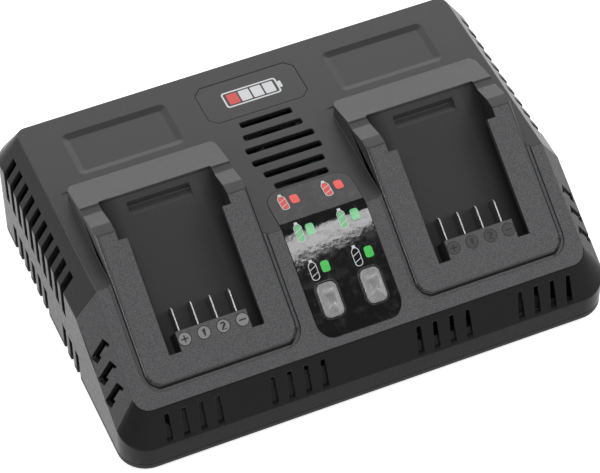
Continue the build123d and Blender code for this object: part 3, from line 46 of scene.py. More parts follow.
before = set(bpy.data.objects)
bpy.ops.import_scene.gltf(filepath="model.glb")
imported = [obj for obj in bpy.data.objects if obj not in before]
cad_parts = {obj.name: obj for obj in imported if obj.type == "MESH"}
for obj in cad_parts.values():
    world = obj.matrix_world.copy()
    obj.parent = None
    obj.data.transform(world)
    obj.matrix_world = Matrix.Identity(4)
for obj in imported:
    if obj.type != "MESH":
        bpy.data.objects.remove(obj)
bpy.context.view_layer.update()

MM = 0.001
SLOPE = math.radians(33.0)
RISE = math.tan(SLOPE)
UP_SLOPE = Vector((0, math.cos(SLOPE), math.sin(SLOPE)))
OFF_SLOPE = Vector((0, -math.sin(SLOPE), math.cos(SLOPE)))
BAY_FACE_Z = 92.88           # heights at which the bay face and the sloping top would cross y = 0
SLOPE_Z = 91.449
DECK_Z = 70.0
BAY_RISE = 1.2               # how far the bay face lies over the sloping top
SIDES = ("left", "right")
BLADES = ("plus", "signal_1", "signal_2", "minus")
BLADE_PITCH = 10.0


def box_of(node):
    """Lower and upper corner of a node's box, in millimetres."""
    return [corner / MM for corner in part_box(node)]


def middle(node):
    """Centre of a node's box, in millimetres."""
    return sum(box_of(node), Vector()) / 2


BAY_X = {side: middle(f"{side}_terminal_block").x for side in SIDES}
BOARD_TOP = box_of("main_board")[1].z


# ---- meshes ----
def linked(name, data):
    """New object in the scene."""
    obj = bpy.data.objects.new(name, data)
    bpy.context.scene.collection.objects.link(obj)
    return obj


def smoothed(mesh, angle):
    """Smooth shading that keeps edges sharper than the angle."""
    mesh.shade_smooth()
    mesh.set_sharp_from_angle(angle=math.radians(angle))
    return mesh


def absorb(whole, shape):
    """Moves one bmesh into another."""
    mesh = bpy.data.meshes.new("part")
    shape.to_mesh(mesh)
    shape.free()
    whole.from_mesh(mesh)
    bpy.data.meshes.remove(mesh)


def together(shapes, name):
    """One mesh of several bmeshes that were drawn in millimetres."""
    whole = bmesh.new()
    for shape in shapes:
        absorb(whole, shape)
    mesh = bpy.data.meshes.new(name)
    bmesh.ops.scale(whole, vec=(MM, MM, MM), verts=whole.verts)
    whole.to_mesh(mesh)
    whole.free()
    return mesh


def piece(name, form, *finishes, slot, crease=None, body="charger", stands_for=()):
    """Object that rides on a body, made of a mesh or of bmeshes drawn in millimetres."""
    mesh = form if isinstance(form, bpy.types.Mesh) else together(form, name)
    if crease:
        smoothed(mesh, crease)
    obj = linked(name, mesh)
    mesh.materials.clear()
    for finish in finishes:
        mesh.materials.append(finish.material)
    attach(obj, body)
    if stands_for:
        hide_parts(*stands_for)
    return obj


def evaluated(obj, name):
    """Plain mesh of an object with its modifiers applied. The object is removed."""
    depsgraph = bpy.context.evaluated_depsgraph_get()
    mesh = bpy.data.meshes.new_from_object(obj.evaluated_get(depsgraph))
    mesh.name = name
    bpy.data.objects.remove(obj)
    return mesh


def node_bmesh(node):
    """Bmesh of a node's mesh, in metres, with its doubled vertices merged."""
    bm = bmesh.new()
    bm.from_mesh(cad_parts[node].data)
    bmesh.ops.remove_doubles(bm, verts=bm.verts, dist=2e-6)
    return bm


def softened(name, node, radius, *finishes, slot, angle=11.0):
    """Piece of a node's mesh with its sharper edges rounded off, kept inside the node's box."""
    bm = node_bmesh(node)
    bmesh.ops.dissolve_limit(bm, angle_limit=math.radians(0.6), verts=bm.verts, edges=bm.edges)
    mesh = bpy.data.meshes.new(name)
    bm.to_mesh(mesh)
    bm.free()
    mesh.shade_smooth()
    obj = linked(name, mesh)
    bevel = obj.modifiers.new("edges", "BEVEL")
    bevel.width = radius * MM
    bevel.segments = 2
    bevel.limit_method = "ANGLE"
    bevel.angle_limit = math.radians(angle)
    bevel.use_clamp_overlap = False
    bevel.harden_normals = False
    obj.modifiers.new("normals", "WEIGHTED_NORMAL").keep_sharp = False
    mesh = evaluated(obj, name)
    low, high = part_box(node)
    for vert in mesh.vertices:
        vert.co = [min(max(value, a), b) for value, a, b in zip(vert.co, low, high)]
    return piece(name, mesh, *finishes, slot=slot, stands_for=[node])


def separate_parts(node):
    """Vertices of each separate solid of a node, in millimetres."""
    bm = node_bmesh(node)
    left, parts = set(bm.verts), []
    for start in bm.verts[:]:
        if start not in left:
            continue
        left.discard(start)
        part, edge = [start], [start]
        while edge:
            for link in edge.pop().link_edges:
                for vert in link.verts:
                    if vert in left:
                        left.discard(vert)
                        part.append(vert)
                        edge.append(vert)
        parts.append([vert.co / MM for vert in part])
    bm.free()
    return parts


def round_parts(node):
    """Middle x and y, radius, foot and head of each separate upright round solid of a node."""
    for part in separate_parts(node):
        xs, ys, zs = zip(*part)
        x, y = ((min(values) + max(values)) / 2 for values in (xs, ys))
        yield x, y, (max(xs) - min(xs)) / 2, min(zs), max(zs)


# ---- flat shapes, laid on a surface and given a thickness ----
def rounded(width, length, radius, steps=5, centre=(0.0, 0.0)):
    """Outline of a rectangle with rounded corners."""
    points = []
    for quarter in range(4):
        corner = (1 if quarter in (0, 3) else -1, 1 if quarter < 2 else -1)
        for step in range(steps + 1):
            angle = math.radians(90.0 * (quarter + step / steps))
            x = corner[0] * (width / 2 - radius) + radius * math.cos(angle)
            y = corner[1] * (length / 2 - radius) + radius * math.sin(angle)
            points.append((centre[0] + x, centre[1] + y))
    return points


def disc(radius, steps=32, centre=(0.0, 0.0)):
    """Outline of a circle."""
    turns = [2 * math.pi * step / steps for step in range(steps)]
    return [(centre[0] + radius * math.cos(t), centre[1] + radius * math.sin(t)) for t in turns]


def stroke(points, width):
    """Outline of a line drawn through points, its ends square."""
    left, right = [], []
    for index, point in enumerate(points):
        here = Vector(point)
        before = Vector(points[max(index - 1, 0)])
        after = Vector(points[min(index + 1, len(points) - 1)])
        run = (after - before).normalized()
        across = Vector((-run.y, run.x)) * width / 2
        if before != here and after != here:
            across /= max((here - before).normalized().dot(run), 0.4)
        left.append(tuple(here + across))
        right.append(tuple(here - across))
    return left + right[::-1]


def filled(*outlines):
    """Flat bmesh inside an outline. Any further outlines are holes in it."""
    bm = bmesh.new()
    for outline in outlines:
        verts = [bm.verts.new((x, y, 0.0)) for x, y in outline]
        for start, end in zip(verts, verts[1:] + verts[:1]):
            bm.edges.new((start, end))
    bmesh.ops.triangle_fill(bm, use_beauty=True, edges=bm.edges[:], normal=(0, 0, 1))
    return bm


def laid(bm, place, low, high, step=None):
    """Thickens a flat bmesh from low to high over a surface that place(x, y, lift) gives."""
    if step:
        rows = [vert.co.y for vert in bm.verts]
        for cut in range(1, int((max(rows) - min(rows)) / step) + 1):
            bmesh.ops.bisect_plane(
                bm, geom=bm.verts[:] + bm.edges[:] + bm.faces[:], dist=1e-5,
                plane_co=(0, min(rows) + cut * step, 0), plane_no=(0, 1, 0),
            )
    top = bmesh.ops.extrude_face_region(bm, geom=bm.faces[:])["geom"]
    raised = {element for element in top if isinstance(element, bmesh.types.BMVert)}
    for vert in bm.verts:
        vert.co.z = high if vert in raised else low
    bmesh.ops.recalc_face_normals(bm, faces=bm.faces)
    for vert in bm.verts:
        vert.co = place(*vert.co)
    return bm


def skinned(rings, close_start=True, close_end=True):
    """Bmesh through rings of points, closed at its ends with fans."""
    bm = bmesh.new()
    rows = [[bm.verts.new(point) for point in ring] for ring in rings]
    count = len(rows[0])
    for low, high in zip(rows, rows[1:]):
        for index in range(count):
            nxt = (index + 1) % count
            bm.faces.new((low[index], low[nxt], high[nxt], high[index]))
    for close, row in ((close_start, rows[0]), (close_end, rows[-1])):
        if close:
            hub = bm.verts.new(sum((vert.co for vert in row), Vector()) / count)
            for index in range(count):
                bm.faces.new((row[index], row[(index + 1) % count], hub))
    bmesh.ops.recalc_face_normals(bm, faces=bm.faces)
    return bm


def at_height(outline, z):
    """Points of an outline at a height."""
    return [Vector((x, y, z)) for x, y in outline]


def lathe(profile, x, y, steps=40):
    """Bmesh turned about an upright axis at x and y, from pairs of radius and height."""
    return skinned([at_height(disc(r, steps, (x, y)), z) for r, z in profile])


def bay_spot(x, y):
    """Place function for a flat shape on a bay's sloping face, centred at x and y."""
    centre = Vector((x, y, BAY_FACE_Z + RISE * y))
    return lambda u, v, lift: centre + Vector((u, 0, 0)) + UP_SLOPE * v + OFF_SLOPE * lift


def level_spot(x, y, z):
    """Place function for a flat shape on a level face."""
    return lambda u, v, lift: Vector((x + u, y + v, z + lift))


BEND_RADIUS = 10.1           # upper surface of the indicator sheet
PANEL_LIFT = 0.1
PANEL_BOW = 0.22
PANEL_FRONT, PANEL_REAR = -81.8, -9.0
BEND_Y = (DECK_Z - SLOPE_Z) / RISE - PANEL_LIFT * math.tan(SLOPE / 2)
BEND_TANGENT = BEND_RADIUS * math.tan(SLOPE / 2)
HALF_ARC = BEND_RADIUS * SLOPE / 2


def along_panel(y):
    """Distance along the bent sheet, from the middle of its bend, of a place at y."""
    if y > BEND_Y + BEND_TANGENT:
        return y - BEND_Y - BEND_TANGENT + HALF_ARC
    foot = BEND_Y - BEND_TANGENT * math.cos(SLOPE)
    if y < foot:
        return (y - foot) / math.cos(SLOPE) - HALF_ARC
    return HALF_ARC - BEND_RADIUS * math.asin((BEND_Y + BEND_TANGENT - y) / BEND_RADIUS)


PANEL_ENDS = (along_panel(PANEL_FRONT), along_panel(PANEL_REAR))


def on_panel(x, s, lift):
    """Point of the bent sheet at a distance s along it, lifted off its surface."""
    turn = min(max((HALF_ARC - s) / BEND_RADIUS, 0.0), SLOPE)
    out = Vector((0, -math.sin(turn), math.cos(turn)))
    point = Vector((x, BEND_Y + BEND_TANGENT, DECK_Z + PANEL_LIFT - BEND_RADIUS))
    if s < -HALF_ARC:
        share = (s + HALF_ARC) / (PANEL_ENDS[0] + HALF_ARC)
        lift += 4 * PANEL_BOW * share * (1 - share)
        point += UP_SLOPE * (s + HALF_ARC)
    point += out * (BEND_RADIUS + lift)
    point.y += max(s - HALF_ARC, 0.0)
    return point


def panel_spot(x, y):
    """Place function for a flat shape on the indicator sheet, centred at x and y."""
    start = along_panel(y)
    return lambda u, v, lift: on_panel(x + u, start + v, lift)


# ---- node trees ----
class Nodes:
    """A node tree under construction."""

    def __init__(self, tree):
        self.tree = tree

    def link(self, output, socket):
        self.tree.links.new(output, socket)

    def add(self, kind, settings=None, out=0, **inputs):
        """Output of a new node that has these settings, and outputs or values as its inputs.

        An input goes by its name, with underscores for spaces, or by its number, as in i0.
        """
        node = self.tree.nodes.new(kind)
        for name, value in (settings or {}).items():
            setattr(node, name, value)
        for name, value in inputs.items():
            socket = node.inputs[int(name[1:]) if name[1:].isdigit() else name.replace("_", " ")]
            if isinstance(value, bpy.types.NodeSocket):
                self.link(value, socket)
            else:
                socket.default_value = value
        return node.outputs[out]


class Pattern(Nodes):
    """A geometry node tree under construction, with named inputs."""

    def __init__(self, name, **inputs):
        super().__init__(bpy.data.node_groups.new(name, "GeometryNodeTree"))
        sockets = self.tree.interface
        kinds = {float: "Float", int: "Int", tuple: "Vector"}
        sockets.new_socket("Geometry", in_out="INPUT", socket_type="NodeSocketGeometry")
        for label, value in inputs.items():
            kind = kinds.get(type(value), "Object")
            socket = sockets.new_socket(label, in_out="INPUT", socket_type=f"NodeSocket{kind}")
            if kind != "Object":
                socket.default_value = value
        sockets.new_socket("Material", in_out="INPUT", socket_type="NodeSocketMaterial")
        sockets.new_socket("Geometry", in_out="OUTPUT", socket_type="NodeSocketGeometry")
        self.inputs = self.tree.nodes.new("NodeGroupInput").outputs

    def vector(self, operation, a, b):
        """Result of a vector operation on two values or outputs."""
        return self.add("ShaderNodeVectorMath", {"operation": operation}, i0=a, i1=b)

    def random(self, kind, low, high, salt):
        """Random value for each point, from the tree's Seed input."""
        seed = self.add("ShaderNodeMath", {"operation": "ADD"}, i0=self.inputs["Seed"], i1=salt)
        node = self.add("FunctionNodeRandomValue", {"data_type": kind}, Seed=seed).node
        active = [socket for socket in node.inputs if socket.enabled]
        for name, value in (("Min", low), ("Max", high)):
            next(socket for socket in active if socket.name == name).default_value = value
        return next(socket for socket in node.outputs if socket.enabled)

    def part(self):
        """Geometry of the object given as Part."""
        return self.add("GeometryNodeObjectInfo", out="Geometry", Object=self.inputs["Part"])

    def finish(self, points, form, rotation):
        """Ends the tree with a form on every point, realized and given the material."""
        copies = self.add(
            "GeometryNodeInstanceOnPoints", Points=points, Instance=form, Rotation=rotation,
        )
        real = self.add("GeometryNodeRealizeInstances", Geometry=copies)
        material = self.inputs["Material"]
        dressed = self.add("GeometryNodeSetMaterial", Geometry=real, Material=material)
        self.link(dressed, self.tree.nodes.new("NodeGroupOutput").inputs["Geometry"])

    def grown(self, name, finish, points, part=None, **values):
        """Plain mesh that the tree makes from points in millimetres, with a mesh as its Part."""
        mesh = bpy.data.meshes.new(name)
        mesh.from_pydata([Vector(point) * MM for point in points], [], [])
        obj = linked(name, mesh)
        values["Material"] = finish.material
        if part:
            values["Part"] = linked("part", part)
        modifier = obj.modifiers.new(name, "NODES")
        modifier.node_group = self.tree
        for item in self.tree.interface.items_tree:
            if item.in_out == "INPUT" and item.name in values:
                modifier[item.identifier] = values[item.name]
        mesh = evaluated(obj, name)
        if part:
            bpy.data.objects.remove(values["Part"])
        return mesh


# ---- materials ----
WAVE_SCALE = 2 * math.pi / 20        # scale of the wave texture that gives one band to a unit


class Finish(Nodes):
    """A material under construction: its Principled shader and the patterns on it.

    Where a pattern is asked for, a tuple of size in millimetres, detail and roughness
    stands for noise. Every call that changes the material returns it.
    """

    def __init__(self, name, colour, roughness, **sockets):
        self.material = bpy.data.materials.new(name)
        self.material.use_nodes = True
        super().__init__(self.material.node_tree)
        self.shader = self.tree.nodes["Principled BSDF"]
        self.colour = (*colour, 1.0)
        self.set(Base_Color=self.colour, Roughness=roughness, **sockets)
        self.place = self.add("ShaderNodeTexCoord", out="Object")

    def set(self, **sockets):
        """Sets inputs of the shader."""
        for socket, value in sockets.items():
            self.shader.inputs[socket.replace("_", " ")].default_value = value
        return self

    def feed(self, socket, output, inlet):
        """Feeds an input of the shader from a node, whose inlet takes what fed the input before."""
        target = self.shader.inputs[socket]
        for link in list(target.links):
            self.link(link.from_socket, output.node.inputs[inlet])
        self.link(output, target)
        return self

    def texture(self, kind, out, sizes, settings=None, turn=0.0, **inputs):
        """Output of a texture with the given sizes along the axes, in millimetres."""
        mapped = self.add(
            "ShaderNodeMapping", Vector=self.place, Rotation=(0, 0, turn),
            Scale=[1.0 / (size * MM) for size in sizes],
        )
        return self.add(f"ShaderNodeTex{kind}", settings, out, Vector=mapped, **inputs)

    def noise(self, size, detail=2.0, rough=0.5, stretch=(1.0, 1.0, 1.0)):
        """Noise with features about size millimetres wide, longer along a stretched axis."""
        sizes = [size * along for along in stretch]
        return self.texture("Noise", "Fac", sizes, Scale=1.0, Detail=detail, Roughness=rough)

    def cells(self, size):
        """Distance to the nearest of points strewn about size millimetres apart."""
        return self.texture("Voronoi", "Distance", [size] * 3, Scale=1.0)

    def lines(self, pitch, axis="X"):
        """Parallel bands of the given pitch in millimetres, one after another along an axis."""
        return self.texture(
            "Wave", "Fac", [pitch] * 3, {"bands_direction": axis}, Scale=WAVE_SCALE,
        )

    def bricks(self, length, pitch, gap, turn=0.0):
        """1 on long rounded strips and 0 in the gaps between them, in millimetres."""
        joints = self.texture(
            "Brick", "Fac", [1.0] * 3, turn=turn, Scale=1.0, Mortar_Size=gap,
            Mortar_Smooth=0.2, Brick_Width=length, Row_Height=pitch,
        )
        return self.spread(joints, 1.0, 0.0, 0.0, 1.0)

    def spread(self, value, low, high, start=0.3, stop=0.7):
        """A pattern's values from start to stop, brought between low and high."""
        if isinstance(value, tuple):
            value = self.noise(*value)
        return self.add(
            "ShaderNodeMapRange", Value=value,
            From_Min=start, From_Max=stop, To_Min=low, To_Max=high,
        )

    def span(self, axis, low, high, about=()):
        """0 below low and 1 above high along an axis, in millimetres, folded about middles."""
        value = self.add("ShaderNodeSeparateXYZ", out=axis, Vector=self.place)
        for centre in about:
            for operation, amount in (("SUBTRACT", centre * MM), ("ABSOLUTE", 0.0)):
                value = self.add("ShaderNodeMath", {"operation": operation}, i0=value, i1=amount)
        return self.spread(value, 0.0, 1.0, low * MM, high * MM)

    def tint(self, value, colour, amount=1.0, start=0.3, stop=0.7):
        """Mixes a second colour in where the pattern's value is high."""
        share = self.spread(value, 0.0, amount, start, stop)
        mixed = self.add(
            "ShaderNodeMix", {"data_type": "RGBA"}, "Result",
            A=self.colour, B=(*colour, 1.0), Factor=share,
        )
        return self.feed("Base Color", mixed, "A")

    def wear(self, value, low, high):
        """Varies the roughness between low and high."""
        self.link(self.spread(value, low, high), self.shader.inputs["Roughness"])
        return self

    def bump(self, value, depth, strength=1.0):
        """Relief of the given depth in millimetres, on top of what is there already."""
        if isinstance(value, tuple):
            value = self.noise(*value)
        relief = self.add("ShaderNodeBump", Height=value, Distance=depth * MM, Strength=strength)
        return self.feed("Normal", relief, "Normal")

    def plated(self, value, colour):
        """Metal of the given colour where the pattern's value is high, a slight sheen elsewhere."""
        self.tint(value, colour)
        return self.feed(
            "Metallic", self.add("ShaderNodeMath", {"operation": "MAXIMUM"}, i1=value), 0,
        )

    def glow(self, colour, strength):
        """Light of its own."""
        return self.set(Emission_Color=(*colour, 1.0), Emission_Strength=strength)


def shade(colour, factor):
    """A colour made darker or lighter."""
    return tuple(min(1.0, channel * factor) for channel in colour[:3])


def moulded(name, colour, roughness, grain=0.5, depth=0.02, pit_shade=0.85, **sockets):
    """Moulded plastic with a spark-eroded grain of the given size and depth, darker in its pits:
    painted shade.
    """
    finish = Finish(name, colour, roughness, **sockets)
    finish.tint((60.0, 2.0), shade(colour, 1.05), 0.8)
    # Painted shade: a darker speckle about the grain's size stands for the shade in its pits.
    finish.tint((grain * 1.1, 2.0), shade(colour, pit_shade), 0.8, 0.444, 0.556)
    finish.wear((grain * 6.0, 3.0), roughness - 0.03, roughness + 0.04)
    return finish.bump((grain, 3.0, 0.6), depth).bump((grain * 4.5, 2.0), depth * 1.2, 0.5)


def metal(name, colour, roughness, brushed=(1.0, 1.0, 8.0), depth=0.004):
    """Metal with fine drawing lines and slight tarnish."""
    finish = Finish(name, colour, roughness, Metallic=1.0)
    lines = finish.noise(0.25, 3.0, stretch=brushed)
    finish.tint((2.5, 3.0), shade(colour, 0.82), 0.6)
    return finish.wear(lines, roughness - 0.05, roughness + 0.10).bump(lines, depth)


def rubber(name, colour):
    """Matt rubber with a fine dusty bloom."""
    finish = Finish(name, colour, 0.78).tint((6.0, 4.0), shade(colour, 1.5), 0.6)
    return finish.wear((2.0, 3.0), 0.7, 0.88).bump((0.35, 3.0), 0.02)


def lacquered(name, colour, roughness=0.25, coat=0.4):
    """Dipped or printed coat, glossy with slight waves."""
    finish = Finish(name, colour, roughness, Coat_Weight=coat, Coat_Roughness=0.12)
    finish.tint((5.0, 3.0), shade(colour, 0.8), 0.7)
    return finish.wear((1.5, 3.0), roughness - 0.06, roughness + 0.08).bump((1.2, 2.0), 0.03)


def printed(name, colour):
    """Screen-printed ink with slight pinholes."""
    finish = Finish(name, tuple(colour), 0.35).tint((0.5, 3.0), shade(colour, 0.86), 0.6)
    return finish.bump((0.25, 2.0), 0.006)


# ---- sizes and colours that a user would change ----
def colour_setting(name, description, *default):
    """Colour in a group of settings."""
    return FloatVectorProperty(
        name=name, description=description, subtype="COLOR", size=3, default=default,
    )


def power_setting(name, description, default):
    """Power of a light in a group of settings."""
    return FloatProperty(
        name=name, description=description, subtype="POWER", unit="POWER", default=default, min=0.0,
    )


class ChargerLooks(bpy.types.PropertyGroup):
    """Colours and fine sizes of the charger"""

    case_colour: colour_setting(
        "Case colour", "Moulded plastic of the cover and base", 0.040, 0.040, 0.042,
    )
    case_edge: FloatProperty(
        name="Case edge", description="Rounding of the cover's edges, in metres",
        subtype="DISTANCE", unit="LENGTH", default=0.0004, min=0.0001, max=0.001,
    )
    grain: FloatProperty(
        name="Grain", description="Width of the spark-eroded grain, in millimetres",
        default=0.55, min=0.2, max=2.0,
    )
    panel_colour: colour_setting(
        "Panel colour", "Black sheet of the indicator panel", 0.006, 0.006, 0.007,
    )
    print_colour: colour_setting("Print colour", "White ink of the signs", 0.78, 0.79, 0.80)
    red_colour: colour_setting(
        "Red lamp colour", "Windows and cells of the red lamps", 0.78, 0.085, 0.075,
    )
    # The upper lamps are green; their paler, whiter green is a painted reflection of the glare
    # across their row.
    pale_colour: colour_setting(
        "Pale lamp colour", "Windows and cells of the upper green lamps", 0.20, 0.62, 0.28,
    )
    green_colour: colour_setting(
        "Green lamp colour", "Windows of the lower green lamps", 0.025, 0.50, 0.05,
    )
    button_colour: colour_setting(
        "Button colour", "Smoky plastic of the push buttons", 0.32, 0.32, 0.32,
    )
    blade_colour: colour_setting(
        "Blade colour", "Plating of the contact blades", 0.46, 0.455, 0.44,
    )
    mark_colour: colour_setting(
        "Mark colour", "Discs in front of the left contacts", 0.27, 0.27, 0.27,
    )


class ChargerStage(bpy.types.PropertyGroup):
    """Lights and surroundings of the charger"""

    key_power: power_setting("Key light", "Power of the two large lights over the charger", 7.0)
    strip_power: power_setting(
        "Strip light", "Power of the narrow light that the indicator sheet mirrors", 0.48,
    )
    rear_power: power_setting("Rear light", "Power of the soft light behind the charger", 10.5)
    side_power: power_setting("Side light", "Power of the low light behind its left side", 3.0)
    edge_power: power_setting(
        "Edge light", "Power of the upright strip that lines the left edges", 2.6,
    )
    surround: FloatProperty(
        name="Surroundings", description="Strength of the even light from all round",
        default=0.20, min=0.0, max=1.0,
    )
    floor_colour: colour_setting(
        "Floor colour", "Colour of the floor and backdrop", 0.86, 0.86, 0.86,
    )


def looks():
    """Settings of the charger in this scene."""
    return bpy.context.scene.charger_looks


# ---- cover and base ----
COVER_FINISHES = {
    # name, shade of the case colour (each zone made lighter or darker by how light falls on it:
    # painted light and shade), roughness, width of the grain or None for the user's, its depth,
    # painted shade of its pits, specular level
    "grain": ("case grain", 2.65, 0.50, None, 0.14, 0.48, 0.5),
    "flank": ("flank grain", 2.1, 0.50, None, 0.14, 0.48, 0.25),
    "pocket": ("pocket satin", 1.45, 0.62, 0.3, 0.006, 0.85, 0.2),
    "deck": ("deck satin", 1.0, 0.42, 0.35, 0.010, 0.85, 0.5),
    "bar": ("bar satin", 1.1, 0.38, 0.35, 0.008, 0.85, 0.5),
    "wall": ("wall satin", 0.60, 0.28, 0.4, 0.010, 0.85, 0.09),
    "facet": ("facet satin", 0.35, 0.24, 0.4, 0.008, 0.85, 0.10),
    "rim": ("rim satin", 0.6, 0.30, 0.4, 0.008, 0.85, 0.5),
}
FACET_Y, FACET_Z = -76.0, 40.0       # the front facet lies in front of and below these
POCKET_HALF, POCKET_FRONT, POCKET_REAR = 29.4, -68.6, 11.0
POCKET_TOP, POCKET_FLOOR = 0.35, 15.4        # depths under the bay face
BAR_HALF, BAR_FRONT = 39.8, -17.5
DECK_FRONT = -33.0
FRAME_HALF, FRAME_DEPTH = 41.5, 9.0
FLANK_REAR, FLANK_FOOT = -34.0, 16.0
SLOPE_FOOT = 33.0
RAIL_SHADOW_SPAN = (20.0, 28.5)    # distances from a bay's middle over which its pocket is darkened: painted shadow of its rails


# The zones' finishes carry painted light and shade, so where a spot lies and faces sets how lit it
# looks.
def cover_zone(centre, normal):
    """Which finish a spot of the cover has, from where it lies and faces."""
    x, y, z = centre / MM
    across = min(abs(x - bay) for bay in BAY_X.values())
    under_bay = (BAY_FACE_Z + RISE * y - z) * math.cos(SLOPE)
    on_slope = normal.dot(OFF_SLOPE) > 0.9
    forward = -normal.y > max(0.15, 0.3 * abs(normal.x))
    if y < FACET_Y and z < FACET_Z and 0.2 < normal.z < 0.8 and forward:
        return "facet"
    in_pocket = across < POCKET_HALF and POCKET_FRONT < y < POCKET_REAR
    if in_pocket and POCKET_TOP < under_bay < POCKET_FLOOR:
        return "pocket"
    if across < BAR_HALF and y > BAR_FRONT and z > DECK_Z + 0.4:
        return "bar"
    if z > DECK_Z - 2.0 and normal.z > 0.7 and y > DECK_FRONT:
        return "deck"
    if on_slope and z > SLOPE_FOOT:
        return "grain"
    if across < FRAME_HALF and under_bay < FRAME_DEPTH and y < 0.0:
        return "grain" if on_slope else "rim"
    if y < FLANK_REAR and z > FLANK_FOOT and 0.35 < normal.z < 0.8 and abs(normal.x) > 0.4:
        return "flank"
    return "wall"


class CHARGER_OT_housing(bpy.types.Operator):
    """Top cover with its grained, smooth and satin faces, and the base shell"""

    bl_idname = "charger.housing"
    bl_label = "Housing"

    def execute(self, context):
        colour, edge = looks().case_colour, looks().case_edge / MM
        finishes = {}
        # Each zone's plastic is the case colour scaled by its own factor: lit and shaded copies of
        # one material, painted light and shade.
        for zone, (name, level, roughness, grain, depth, pit_shade, gloss) in COVER_FINISHES.items():
            finishes[zone] = moulded(
                name, shade(colour, level), roughness, grain or looks().grain, depth, pit_shade,
                Specular_IOR_Level=gloss,
            )
        # Painted shadow: each pocket darkens towards its sides, where its rails overhang it.
        pocket = finishes["pocket"]
        painted_rail_shadow = pocket.span("X", *RAIL_SHADOW_SPAN, about=(0.0, BAY_X["right"]))
        pocket.tint(painted_rail_shadow, shade(colour, 0.25), 0.9, 0.0, 1.0)
        cover = softened("cover_shell", "top_cover", edge, *finishes.values(), slot="case")
        zones = list(finishes)
        for face in cover.data.polygons:
            face.material_index = zones.index(cover_zone(face.center, face.normal))
        # The base is the case colour darkened: a shaded copy of the cover's plastic, painted shade.
        base = moulded("base plastic", shade(colour, 0.6), 0.5, 0.4, 0.02, Specular_IOR_Level=0.2)
        softened("base_tray", "base_shell", edge, base, slot="case")
        return {"FINISHED"}


# ---- badge plate ----
GAUGE = (30.0, 11.0, 4, 0.9)         # width, length, cells and line of the gauge on the badge
BADGE_INK = (-0.03, 0.04)            # lower and upper face of the print


def lying_gauge(width, length, cells, line):
    """Outlines of a battery gauge: its shell and the hole in it, its terminal, its cells."""
    shell = (rounded(width, length, 1.6), rounded(width - 2 * line, length - 2 * line, 1.0))
    nub = (rounded(1.6, length * 0.42, 0.5, centre=(width / 2 + 0.9, 0.0)),)
    room = (width - 4 * line) / cells
    spots = [(-width / 2 + 2 * line + room * (index + 0.5), 0.0) for index in range(cells)]
    blocks = [(rounded(room - line, length - 4 * line, 0.5, centre=spot),) for spot in spots]
    return [shell, nub, *blocks]


class CHARGER_OT_badge(bpy.types.Operator):
    """Glossy badge plate on the rear deck, printed with a plain battery gauge"""

    bl_idname = "charger.badge"
    bl_label = "Badge plate"

    def execute(self, context):
        colour = looks().case_colour
        plate = Finish("badge lacquer", shade(colour, 0.7), 0.30)
        plate.tint((30.0, 3.0), shade(colour, 0.85), 0.6)
        plate.wear((4.0, 4.0), 0.27, 0.35).bump((2.2, 2.0), 0.004)
        softened("badge_face", "badge_plate", 0.25, plate, slot="badge")
        centre, (_, top) = middle("badge_plate"), box_of("badge_plate")
        spot = level_spot(centre.x, centre.y, top.z)
        shell, nub, first, *others = (
            laid(filled(*outlines), spot, *BADGE_INK) for outlines in lying_gauge(*GAUGE)
        )
        ink = printed("badge white ink", looks().print_colour)
        piece("badge_gauge", [shell, nub, *others], ink, slot="badge")
        red = printed("badge red ink", looks().red_colour)
        piece("badge_first_cell", [first], red, slot="badge")
        return {"FINISHED"}


# ---- indicator panel ----
LAMPS = {
    # y of the row, x of its two lamps, x and y of their battery signs, glow, slot of the windows
    "red": (-17.0, (-8.7, 14.9), ((-14.8, -16.9), (8.4, -17.1)), 0.30, "guide_red"),
    # The pale row's colour carries a painted reflection of the glare across the sheet.
    "pale": (-36.45, (-8.8, 15.0), ((-14.7, -36.4), (8.2, -36.5)), 0.18, "guide_green"),
    "green": (-53.0, (-8.1, 15.1), ((-14.4, -53.1), (8.6, -53.1)), 0.25, "guide_green"),
}
BUTTON_SPOTS = {"left": (-11.5, -66.6), "right": (11.5, -66.6)}
PANEL_WIDTH, PANEL_CORNER, PANEL_THICK = 44.6, 8.0, 0.7
BUTTON_HOLE = (11.0, 18.2, 3.5)      # width, length and corner
WINDOW = (4.3, 5.7, 1.3)
WINDOW_FACES = (-0.05, 0.08)         # lower and upper face of what lies on the sheet
SIGN_INK = (-0.02, 0.05)
CELL_INK = (-0.02, 0.03)
SIGN_LINE = 0.34
SIGN_BARS = (-2.3, 1.0)
SHEET_STEP, PRINT_STEP = 0.9, 0.8    # longest straight stretch of the sheet and of its print


def cell_outline(inset):
    """Outline of an upright battery sign with sloping shoulders, drawn smaller by inset."""
    half, top, foot, corner = 2.1 - inset, 2.6, -5.3 + inset, 1.6
    points = [(half, top - 0.3 * inset), (half, foot + corner)]
    for step in range(1, 8):
        angle = math.radians(90.0 * step / 4)
        points.append((half * math.cos(angle), foot + corner - corner * math.sin(angle)))
    points += [(-half, foot + corner), (-half, top - 0.3 * inset)]
    if inset:
        return points + [(-0.7, 4.2 - inset), (0.7, 4.2 - inset)]
    return points + [(-0.85, 4.4), (-0.85, 5.4), (0.85, 5.4), (0.85, 4.4)]


